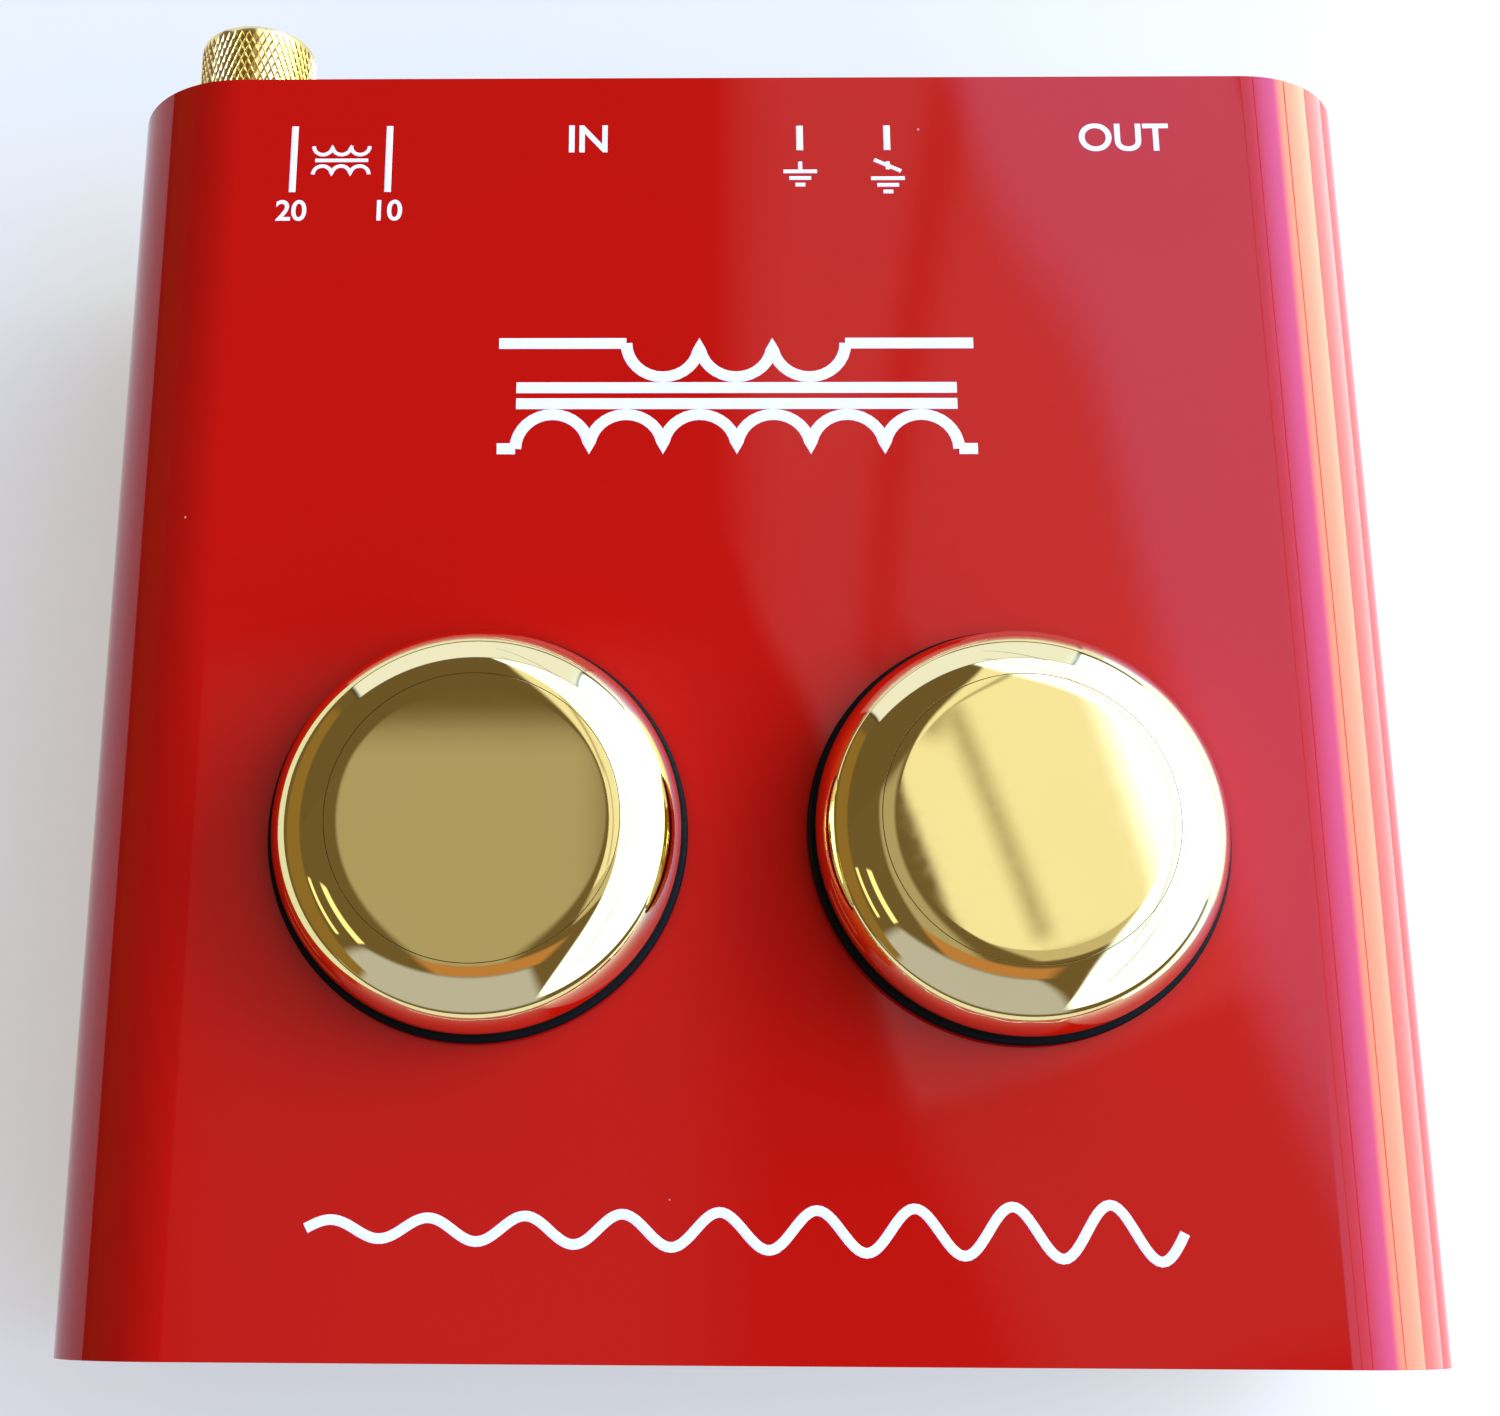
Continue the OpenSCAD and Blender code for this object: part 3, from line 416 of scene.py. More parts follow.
@dataclass(frozen=True)
class GlossEnamel(Finish):
    """Sprayed high-gloss enamel on bent sheet: a deep colour under a clear skin that mirrors the room.

    The sheet's slow waves bend the mirrored lines, orange peel softens them, and a few specks of dust
    lie on the paint.
    """

    wave: float = 34.0
    wave_height: float = 0.15
    peel: float = 2.2
    peel_height: float = 0.0007
    speck: float = 0.13
    speck_core: float = 0.6
    speck_spacing: float = 8.0
    speck_share: float = 0.45
    dust: str = "#E0A9A4"
    dust_roughness: float = 0.7

    def weave(self, tree: Tree, shader: Node) -> None:
        """Link the colour, dust and relief to the shader."""
        place = add_node(tree, "ShaderNodeTexCoord").outputs["Object"]
        long_way = add_node(tree, "ShaderNodeMapping", {"Vector": place, "Scale": self.stretch})
        wave = add_node(tree, "ShaderNodeTexNoise", {
            "Vector": long_way.outputs[0], "Scale": per_mm(self.wave), "Detail": 0.0})
        peel = add_node(tree, "ShaderNodeTexNoise", {
            "Vector": place, "Scale": per_mm(self.peel), "Detail": 1.0})
        slow = add_node(tree, "ShaderNodeBump", {
            "Height": wave.outputs["Fac"], "Strength": 1.0, "Distance": self.wave_height * MM})
        fine = add_node(tree, "ShaderNodeBump", {
            "Height": peel.outputs["Fac"], "Strength": 1.0, "Distance": self.peel_height * MM,
            "Normal": slow.outputs[0]})
        cells = add_node(tree, "ShaderNodeTexVoronoi", {
            "Vector": place, "Scale": per_mm(self.speck_spacing)})
        size = self.speck / self.speck_spacing
        dot = add_node(tree, "ShaderNodeMapRange", {
            "Value": cells.outputs["Distance"], "From Min": self.speck_core * size, "From Max": size,
            "To Min": 1.0, "To Max": 0.0})
        pick = add_node(tree, "ShaderNodeSeparateColor", {"Color": cells.outputs["Color"]})
        kept = add_node(tree, "ShaderNodeMath", {0: pick.outputs[0], 1: self.speck_share},
                        operation="LESS_THAN")
        dust = add_node(tree, "ShaderNodeMath", {0: dot.outputs["Result"], 1: kept.outputs[0]},
                        operation="MULTIPLY")
        dusty = add_node(tree, "ShaderNodeMix", {
            0: dust.outputs[0], MIX_A: self.tint(tree, place), MIX_B: linear(self.dust)}, data_type="RGBA")
        dull = add_node(tree, "ShaderNodeMapRange", {
            "Value": dust.outputs[0], "To Min": self.roughness, "To Max": self.dust_roughness})
        tree.links.new(dusty.outputs[MIX_OUT], shader.inputs["Base Color"])
        tree.links.new(dull.outputs["Result"], shader.inputs["Roughness"])
        for socket in ("Normal", "Coat Normal"):
            tree.links.new(fine.outputs[0], shader.inputs[socket])


# Deep red enamel: the eye sees saturated red where nothing bright is mirrored, and a pink veil where it is.
RED_ENAMEL = GlossEnamel("sprayed_red_gloss_enamel", "#BF0D08", "#B70B06", roughness=0.03, ior=1.4,
                         stretch=(1.6, 0.7, 1.0), drift=40.0)
# Mirror-polished gold plate: almost all it shows is the room, tinted a light yellow.
MIRROR_GOLD = Finish("mirror_polished_gold_plate", "#FFEFA6", "#FCEA9E", roughness=0.035, gloss_spread=0.012,
                     metallic=1.0, grain=1.1, relief=0.0002, drift=15.0)
# Painted shade: a dark brown gold on the faces at the bottom of the fine turned crease in the polish. It
# stands in for the shade that falls in that groove, where the eye sees no more than a dark hair.
GOLD_CREASE_PAINTED_SHADE = Finish("shaded_line_in_gold_plate", "#4C3A14", "#402F10", roughness=0.4, metallic=1.0, grain=0.2,
                   relief=0.001, drift=6.0)
# Bright gold plate on turned brass: the fine turning lines blur its mirror a little.
BRIGHT_GOLD = Finish("bright_gold_plate_on_turned_brass", "#FBE69A", "#F0D684", roughness=0.16,
                     gloss_spread=0.05, metallic=1.0, grain=0.25, relief=0.002, drift=5.0)
# Baked powder coat: small rounded pebbles that break up the light.
POWDER_COAT = Finish("black_powder_coat_on_steel", "#17171A", "#1F1F22", roughness=0.46, gloss_spread=0.1,
                     grain=0.45, relief=0.02, drift=25.0)
# Moulded rubber: nearly black and dull, with a soft sheen on its rounded edges.
RUBBER = Finish("moulded_black_rubber", "#040404", "#070707", roughness=0.6, gloss_spread=0.1, ior=1.2,
                grain=0.3, relief=0.006, drift=9.0)
# Black oxide on machined steel: a dark oily metal.
BLACK_OXIDE = Finish("black_oxide_on_steel", "#2A2A2D", "#1D1D20", roughness=0.34, metallic=1.0, grain=0.3,
                     relief=0.003, drift=4.0)
# Bright tin or zinc plate: a pale grey metal with cloudy gloss.
ZINC_PLATE = Finish("bright_zinc_plate_on_steel", "#C9CBCE", "#B4B7BC", roughness=0.3, gloss_spread=0.1,
                    metallic=1.0, grain=0.6, relief=0.003, drift=6.0)
# Annealed nickel-iron: a matt silver grey with fine drawing lines up the wall.
NICKEL_IRON = Finish("drawn_nickel_iron", "#A9A8A2", "#97958E", roughness=0.4, metallic=1.0, grain=0.4,
                     relief=0.004, drift=10.0, stretch=(1.0, 1.0, 0.08))
# Solder mask over glass epoxy: a green lacquer, glossy over the faint weave of the glass.
SOLDER_MASK = Finish("green_solder_mask_on_glass_epoxy", "#0F4A25", "#0A3B1D", roughness=0.28, grain=0.8,
                     relief=0.008, drift=14.0, coat=0.5)
# Phenolic board: brown paper and resin, with a short fibre.
PHENOLIC = Finish("pressed_brown_phenolic", "#7A4A26", "#68401F", roughness=0.45, grain=0.7, relief=0.006,
                  drift=3.0, stretch=(0.3, 1.0, 1.0))
# Moulded black plastic: a fine spark texture from the tool.
BLACK_ABS = Finish("moulded_black_abs", "#19191B", "#121214", roughness=0.4, grain=0.25, relief=0.008,
                   drift=8.0)
# Moulded nylon: warm white and waxy.
IVORY_NYLON = Finish("moulded_ivory_nylon", "#DDD6BD", "#CFC7AB", roughness=0.45, grain=0.5, relief=0.004,
                     drift=6.0)
# Glossy moulded polyethylene, in the two colours that tell the channels apart.
WHITE_PLASTIC = Finish("moulded_white_polyethylene", "#E9E8E2", "#DDDBD3", roughness=0.3, grain=0.6,
                       relief=0.003, drift=3.0)
RED_PLASTIC = Finish("moulded_red_polyethylene", "#B5161B", "#A31015", roughness=0.3, grain=0.6, relief=0.003,
                     drift=3.0)
# Enamelled copper wire, wound in close layers: thin bright lines round the coil.
COPPER_WIRE = Finish("enamelled_copper_winding", "#B5673A", "#8F4A26", roughness=0.32, metallic=1.0,
                     grain=0.5, relief=0.05, drift=4.0, stretch=(0.05, 0.05, 1.0))
# Screen-printed ink: a thin, slightly uneven white that hides the paint below it.
WHITE_INK = Finish("screen_printed_white_ink", "#F4EDEA", "#EADFDC", roughness=0.38, grain=0.35, relief=0.004,
                   drift=3.0)

FINISH_OF = {
    "red_gloss_paint": RED_ENAMEL,
    "black_powder_coat": POWDER_COAT,
    "polished_gold": MIRROR_GOLD,
    "gold_plate": BRIGHT_GOLD,
    "black_rubber": RUBBER,
    "black_steel": BLACK_OXIDE,
    "plated_steel": ZINC_PLATE,
    "shield_alloy": NICKEL_IRON,
    "green_board": SOLDER_MASK,
    "brown_board": PHENOLIC,
    "black_plastic": BLACK_ABS,
    "ivory_plastic": IVORY_NYLON,
    "white_plastic": WHITE_PLASTIC,
    "red_plastic": RED_PLASTIC,
    "copper_winding": COPPER_WIRE,
}


def dress(piece: Object, finish: Finish) -> None:
    """Give a piece one finish all over."""
    piece.data.materials.clear()
    piece.data.materials.append(finish.material())


def accent(piece: Object, finish: Finish, chosen: Callable[[Vector], bool]) -> None:
    """Give the faces whose middles are chosen, in millimetres, a finish of their own."""
    piece.data.materials.append(finish.material())
    for face in piece.data.polygons:
        if chosen(face.center / MM):
            face.material_index = len(piece.data.materials) - 1


def settle(piece: Object, *nodes: str) -> None:
    """Dress a piece as the CAD nodes that it stands for, hide them and let it ride on their body.

    Args:
        piece: the finished piece.
        *nodes: the nodes, all of one slot and one body.
    """
    dress(piece, FINISH_OF[SLOT_OF[nodes[0]]])
    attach(piece, BODY_OF[nodes[0]])
    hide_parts(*nodes)
    log.info("%s stands for %s, %d faces", piece.name, ", ".join(nodes), len(piece.data.polygons))


def set_rear(piece: Object, node: str, axis: Vector, angle: float = 35) -> None:
    """Point a turned piece to the rear, from the front of a CAD node's box, to stand for that node.

    Args:
        piece: the piece, turned at the origin.
        node: the node.
        axis: a point on the piece's axis.
        angle: the angle in degrees above which its edges stay sharp.
    """
    put(piece, (axis.x, corners(node)[0].y, axis.z), Axis.REAR)
    settle(smooth(piece, angle), node)


# The pieces


@dataclass
class Cover:
    """The painted sheet over the top and both sides."""

    bend: float = 12.3
    bend_steps: int = 32
    sheet: float = 1.2
    rim: float = 0.35
    cap_hole: float = 17.1
    screw_hole: float = 1.7

    def build(self) -> None:
        """Bend a sheet over a box, cut its holes and round its rims."""
        low, high = corners("top_cover")
        piece = block("cover", low, high)
        bpy.ops.object.mode_set(mode="EDIT")
        choose(Part.EDGE, lambda p, n: is_side_edge(p, high))
        bpy.ops.mesh.bevel(offset=self.bend * MM, segments=self.bend_steps, profile=0.5, affect="EDGES")
        choose(Part.FACE, lambda p, n: n.z < -0.9 or abs(n.y) > 0.9)
        bpy.ops.mesh.delete(type="FACE")
        bpy.ops.object.mode_set(mode="OBJECT")
        apply_modifier(piece, "SOLIDIFY", thickness=self.sheet * MM, offset=-1, use_even_offset=True)
        for node in ("left_cap", "right_cap"):
            at = middle(node)
            combine(piece, put(rod("cap_punch", self.cap_hole, PUNCH, 96), (at.x, at.y, high.z)))
        for x, y, z in CoverScrews().places():
            combine(piece, put(rod("screw_drill", self.screw_hole, PUNCH), (x, y, z), Axis.RIGHT))
        soften(piece, self.rim, 3, 60)
        smooth(piece, 30)
        apply_modifier(piece, "WEIGHTED_NORMAL", mode="FACE_AREA", weight=100, keep_sharp=True)
        settle(piece, "top_cover")


@dataclass
class Cap:
    """A turned and polished cap with a slightly crowned disc, and the rubber ring that it stands on."""

    side: str
    bends: tuple[Point, ...] = ((520.0, 1.31), (11.6, 8.75), (7.36, 39.0), (4.05, 51.0), (5.8, 90.0))
    bend_steps: int = 18
    tuck_steps: int = 6
    rise: float = 8.0
    seat: float = 1.2
    crease: float = 13.2
    crease_w: float = 0.07
    crease_depth: float = 0.012
    bore: float = 15.15
    lid: float = 2.4
    ring: float = 19.39
    ring_round: float = 0.5
    ring_foot: float = 0.25
    sheet: float = 1.2
    lip: float = 18.5
    lip_t: float = 1.2
    lip_edge: float = 0.3
    throat: float = 17.05

    def foot(self) -> Place:
        """The point where the cap's axis meets the top of the cover."""
        at, cover_top = middle(f"{self.side}_cap"), corners("top_cover")[1].z
        return at.x, at.y, cover_top

    def dome(self) -> list[Point]:
        """The polished outline from the apex to the seat, in arcs that run on without a corner.

        Returns:
            Radius and height of each point. Each bend gives an arc's radius and the slope at its end.
        """
        points = [(0.0, self.rise)]
        slope = 0.0
        for bend, end in self.bends:
            radius, height = points[-1]
            tilt = math.radians(slope)
            centre = (radius - bend * math.sin(tilt), height - bend * math.cos(tilt))
            points += arc(centre, bend, 90 - slope, 90 - end, self.bend_steps)[1:]
            slope = end
        widest, height = points[-1]
        last = self.bends[-1][0]
        tuck = math.degrees(math.asin((height - self.seat) / last))
        return points + arc((widest - last, height), last, 0, -tuck, self.tuck_steps)[1:]

    def profile(self) -> list[Point]:
        """The whole outline, from the apex over a hairline crease and the seat to the lid's underside."""
        half, support = self.crease_w / 2, 0.7 * self.crease_w
        dome = self.dome()
        inside = [point for point in dome if point[0] < self.crease - support]
        outside = [point for point in dome if point[0] > self.crease + support]
        before, after = inside[-1], outside[0]
        fall = (after[1] - before[1]) / (after[0] - before[0])
        groove = [(-support, 0.0), (-half, 0.0), (0.0, self.crease_depth), (half, 0.0), (support, 0.0)]
        crease = [(self.crease + step, before[1] + fall * (self.crease + step - before[0]) - depth)
                  for step, depth in groove]
        return [*inside, *crease, *outside, (self.bore, self.seat), (self.bore, self.rise - self.lid),
                (0, self.rise - self.lid)]

    def build(self) -> None:
        """Turn the cap and mould its ring."""
        cap = put(turned(f"cap_{self.side}", self.profile(), 160), self.foot())
        smooth(cap, 40)
        settle(cap, f"{self.side}_cap")
        x, y, top = self.foot()
        # The groove is cut into the profile; the dark gold on its bottom faces is painted shade.
        accent(cap, GOLD_CREASE_PAINTED_SHADE, lambda at: at.z > top + self.lid
               and abs(math.hypot(at.x - x, at.y - y) - self.crease) < self.crease_w / 2)
        edge = arc((self.ring - self.ring_round, self.seat - self.ring_round), self.ring_round, 90, -15, 8)
        below = -self.sheet
        lip = self.lip - self.lip_edge
        ring = [(self.bore, self.seat), *edge, (self.ring - self.ring_foot, 0), (self.throat, 0),
                (self.throat, below), (lip, below), (self.lip, below - self.lip_edge),
                (lip, below - self.lip_t), (self.bore, below - self.lip_t), (self.bore, self.seat)]
        seat = put(turned(f"ring_{self.side}", ring, 128), self.foot())
        smooth(seat, 40)
        settle(seat, f"{self.side}_grommet")


@dataclass
class ButtonScrews:
    """Button-head screws of one size; the hexagon socket is half its width across the flats."""

    head: float
    head_h: float
    socket: float
    socket_depth: float
    shank: float
    length: float
    brim: float = 0.25
    edge: float = 0.08
    tip: float = 0.3
    rounding: float = 0.06

    def screw(self, name: str) -> Object:
        """Turn one screw that points along -Z from the underside of its head.

        Args:
            name: the piece's name.

        Returns:
            The screw, at the origin.
        """
        rise = self.head_h - self.brim
        dome = (self.head ** 2 + rise ** 2) / (2 * rise)
        start = math.degrees(math.acos(self.head / dome))
        top = arc((0, self.head_h - dome), dome, 90, start, 10)
        piece = turned(name, [*top, (self.head, self.edge), (self.head - self.edge, 0), (self.shank, 0),
                              (self.shank, self.tip - self.length), (self.shank - self.tip, -self.length),
                              (0, -self.length)], 48)
        key = rod("hex_key", self.socket / math.cos(math.pi / 6), 2 * self.socket_depth, 6)
        combine(piece, put(key, (0, 0, self.head_h)))
        soften(piece, self.rounding, 2, 50)
        return smooth(piece, 40)


@dataclass
class CoverScrews(ButtonScrews):
    """The four screws in the cover's sides."""

    head: float = 2.85
    head_h: float = 1.42
    socket: float = 1.15
    socket_depth: float = 1.0
    shank: float = 1.5
    length: float = 6.0

    def places(self) -> list[Place]:
        """Where the undersides of the heads lie."""
        low, high = corners("cover_screws")
        side, inset = corners("top_cover")[1].x, self.head
        z = (low.z + high.z) / 2
        return [(s * side, y, z) for s in (-1, 1) for y in (low.y + inset, high.y - inset)]

    def build(self) -> None:
        """Turn one screw, cut its socket and copy it round the case."""
        placed = [(place, Axis.RIGHT if place[0] > 0 else Axis.LEFT) for place in self.places()]
        settle(copies(self.screw("cover_screw_set"), placed), "cover_screws")


@dataclass
class Feet:
    """Four stick-on rubber feet, dished below."""

    top: float = 6.35
    bottom: float = 5.65
    height: float = 5.0
    rounding: float = 0.9
    dish: float = 0.6
    dish_inset: float = 2.4
    tread: float = 1.8
    flare: float = 0.1
    brim: float = 0.15

    def build(self) -> None:
        """Mould one foot and copy it to the corners."""
        rim = arc((self.bottom - self.rounding, self.rounding), self.rounding, -90, -8, 8)
        brim = self.height - self.brim
        profile = [(0, self.dish), (self.bottom - self.dish_inset, self.dish),
                   (self.bottom - self.tread, 0), *rim, (self.top - self.flare, brim - self.brim),
                   (self.top, brim), (self.top, self.height), (0, self.height)]
        foot = smooth(turned("foot_set", profile, 64), 40)
        low, high = corners("rubber_feet")
        places = [((x, y, 0), Axis.UP) for x in (low.x + self.top, high.x - self.top)
                  for y in (low.y + self.top, high.y - self.top)]
        settle(copies(foot, places), "rubber_feet")


JACKS = ("input_left", "input_right", "output_left", "output_right")
SWITCHES = ("ratio_switch", "lift_switch")


@dataclass
class RearPanel:
    """The punched plate that carries the connectors."""

    corner: float = 10.9
    corner_steps: int = 20
    jack_hole: float = 4.9
    screw_hole: float = 1.4
    post_hole: float = 3.1
    slot: Point = (9.6, 4.2)
    rounding: float = 0.15

    def build(self) -> None:
        """Cut the plate's outline and punch its openings."""
        low, high = corners("rear_panel")
        piece = block("rear_plate", low, high)
        bpy.ops.object.mode_set(mode="EDIT")
        choose(Part.EDGE, lambda p, n: is_side_edge(p, high))
        bpy.ops.mesh.bevel(offset=self.corner * MM, segments=self.corner_steps, profile=0.5, affect="EDGES")
        bpy.ops.object.mode_set(mode="OBJECT")
        y = (low.y + high.y) / 2
        for jack in JACKS:
            at = middle(f"{jack}_insulator")
            combine(piece, put(rod("jack_punch", self.jack_hole, PUNCH), (at.x, y, at.z), Axis.REAR))
        for x, z in JackScrews().places():
            combine(piece, put(rod("screw_punch", self.screw_hole, PUNCH), (x, y, z), Axis.REAR))
        post = middle("ground_bush")
        combine(piece, put(rod("post_punch", self.post_hole, PUNCH), (post.x, y, post.z), Axis.REAR))
        wide, tall = self.slot
        for switch in SWITCHES:
            at = middle(f"{switch}_frame")
            z = middle(f"{switch}_slider").z
            combine(piece, block("slot_punch", (at.x - wide / 2, low.y - OVERCUT, z - tall / 2),
                                 (at.x + wide / 2, high.y + OVERCUT, z + tall / 2)))
        soften(piece, self.rounding, 2, 60)
        settle(smooth(piece, 30), "rear_panel")


@dataclass
class JackScrews(ButtonScrews):
    """The two screws between the jacks of each pair."""

    head: float = 2.2
    head_h: float = 1.3
    socket: float = 0.8
    socket_depth: float = 0.7
    shank: float = 1.2
    length: float = 6.9

    def places(self) -> list[Point]:
        """The two screws' places across and up the panel."""
        low, high = corners("jack_screws")
        return [(x, (low.z + high.z) / 2) for x in (low.x + self.head, high.x - self.head)]

    def build(self) -> None:
        """Turn one screw and copy it."""
        panel = corners("rear_panel")[1].y
        placed = [((x, panel, z), Axis.REAR) for x, z in self.places()]
        settle(copies(self.screw("jack_screw_set"), placed), "jack_screws")


@dataclass
class PhonoJack:
    """A phono jack: plated shell, coloured insulator and sprung centre contact."""

    name: str
    shell: float = 4.15
    bore: float = 3.45
    shoulder: float = 4.6
    flange: float = 5.2
    flange_t: float = 1.0
    neck: float = 3.85
    neck_w: float = 0.3
    shoulder_out: float = 0.6
    rim: float = 0.22
    insulator: float = 3.4
    collar: float = 4.5
    collar_l: float = 3.0
    contact: float = 2.2
    socket: float = 1.65
    socket_depth: float = 12.0
    slit: float = 0.35
    slit_depth: float = 5.0
    slit_reach: float = 3.0
    leg: Point = (1.0, 0.6)
    edge: float = 0.15
    lead_in: float = 0.4
    flare: Point = (0.2, 0.3)
    drill_tip: float = 0.5
    neck_edge: float = 0.1
    fit: float = 0.05

    def leg_down(self, piece: Object, y: float, top: float) -> None:
        """Join the flat leg that goes down through the board on to a piece."""
        low = corners(f"{self.name}_shell")[0].z
        x = middle(f"{self.name}_insulator").x
        wide, thick = self.leg
        leg = block("leg", (x - wide / 2, y - thick / 2, low), (x + wide / 2, y + thick / 2, top))
        combine(piece, leg, "UNION")

    def sleeve(self, axis: Vector) -> None:
        """Turn the shell with its flange, shoulder and rounded mouth."""
        node, rim = f"{self.name}_shell", self.rim
        back, mouth = corners(node)[0].y, corners(node)[1].y
        step, length = corners("rear_panel")[1].y + self.shoulder_out - back, mouth - back
        neck = step + self.neck_w
        lip = [*arc((self.shell - rim, length - rim), rim, 0, 90, 5),
               *arc((self.bore + rim, length - rim), rim, 90, 180, 5)]
        outline = [(self.bore, 0), (self.flange, 0), (self.flange, self.flange_t),
                   (self.shoulder, self.flange_t), (self.shoulder, step - rim), (self.shoulder - rim, step),
                   (self.neck, step), (self.neck, neck), (self.shell - self.neck_edge, neck),
                   (self.shell, neck + self.neck_edge), *lip, (self.bore, 0)]
        shell = put(turned(f"jack_{self.name}_sleeve", outline, 80), (axis.x, back, axis.z), Axis.REAR)
        self.leg_down(shell, back + self.flange_t / 2, axis.z - self.bore - self.fit)
        settle(smooth(shell, 35), node)

    def insert(self, axis: Vector) -> None:
        """Turn the coloured insulator."""
        node, edge, lead_in = f"{self.name}_insulator", self.edge, self.lead_in
        low, high = corners(node)
        length, hole = high.y - low.y, self.contact + self.fit
        ring = [(hole, 0), (self.collar, 0), (self.collar, self.collar_l), (self.insulator, self.collar_l),
                (self.insulator, length - edge), (self.insulator - edge, length), (hole + lead_in, length),
                (hole, length - lead_in), (hole, 0)]
        set_rear(turned(f"jack_{self.name}_insert", ring, 64), node, axis)

    def centre(self, axis: Vector) -> None:
        """Turn the sprung contact and slit it crosswise."""
        node, edge = f"{self.name}_contact", self.edge
        low, high = corners(node)
        length = high.y - low.y
        floor = length - self.socket_depth
        wider, deeper = self.flare
        tube = [(0, 0), (self.contact, 0), (self.contact, length - edge), (self.contact - edge, length),
                (self.socket + wider, length), (self.socket, length - deeper), (self.socket, floor),
                (0, floor - self.drill_tip)]
        pin = turned(f"jack_{self.name}_socket", tube, 48)
        for turn in (0.0, math.pi / 2):
            cut = block("slitter", (-self.slit_reach, -self.slit / 2, length - self.slit_depth),
                        (self.slit_reach, self.slit / 2, length + OVERCUT))
            take(cut)
            cut.rotation_euler.z = turn
            bpy.ops.object.transform_apply(location=False, rotation=True, scale=False)
            combine(pin, cut)
        put(pin, (axis.x, low.y, axis.z), Axis.REAR)
        self.leg_down(pin, low.y + self.leg[1] / 2, axis.z)
        settle(smooth(pin, 35), node)

    def build(self) -> None:
        """Turn the three pieces and set them in the panel."""
        axis = middle(f"{self.name}_insulator")
        self.sleeve(axis)
        self.insert(axis)
        self.centre(axis)


@dataclass
class SlideSwitch:
    """The moulded slider of a slide switch, with its ribbed finger piece."""

    name: str
    finger: Point = (4.0, 3.6)
    carriage_d: float = 3.2
    root: float = 1.0
    groove: float = 0.45
    grooves: int = 3
    rounding: float = 0.22

    def build(self) -> None:
        """Model the carriage and the finger piece as one moulding."""
        low, high = corners(f"{self.name}_slider")
        at = middle(f"{self.name}_slider")
        wide, tall = self.finger
        piece = block(f"{self.name}_lever", low, (high.x, low.y + self.carriage_d, high.z))
        combine(piece, block("finger", (at.x - wide / 2, low.y + self.root, at.z - tall / 2),
                             (at.x + wide / 2, high.y, at.z + tall / 2)), "UNION")
        for i in range(self.grooves):
            x = at.x - wide / 2 + (i + 1) * wide / (self.grooves + 1)
            combine(piece, block("groove", (x - self.groove / 2, high.y - self.groove, at.z - tall),
                                 (x + self.groove / 2, high.y + OVERCUT, at.z + tall)))
        soften(piece, self.rounding, 3, 50)
        settle(smooth(piece, 40), f"{self.name}_slider")


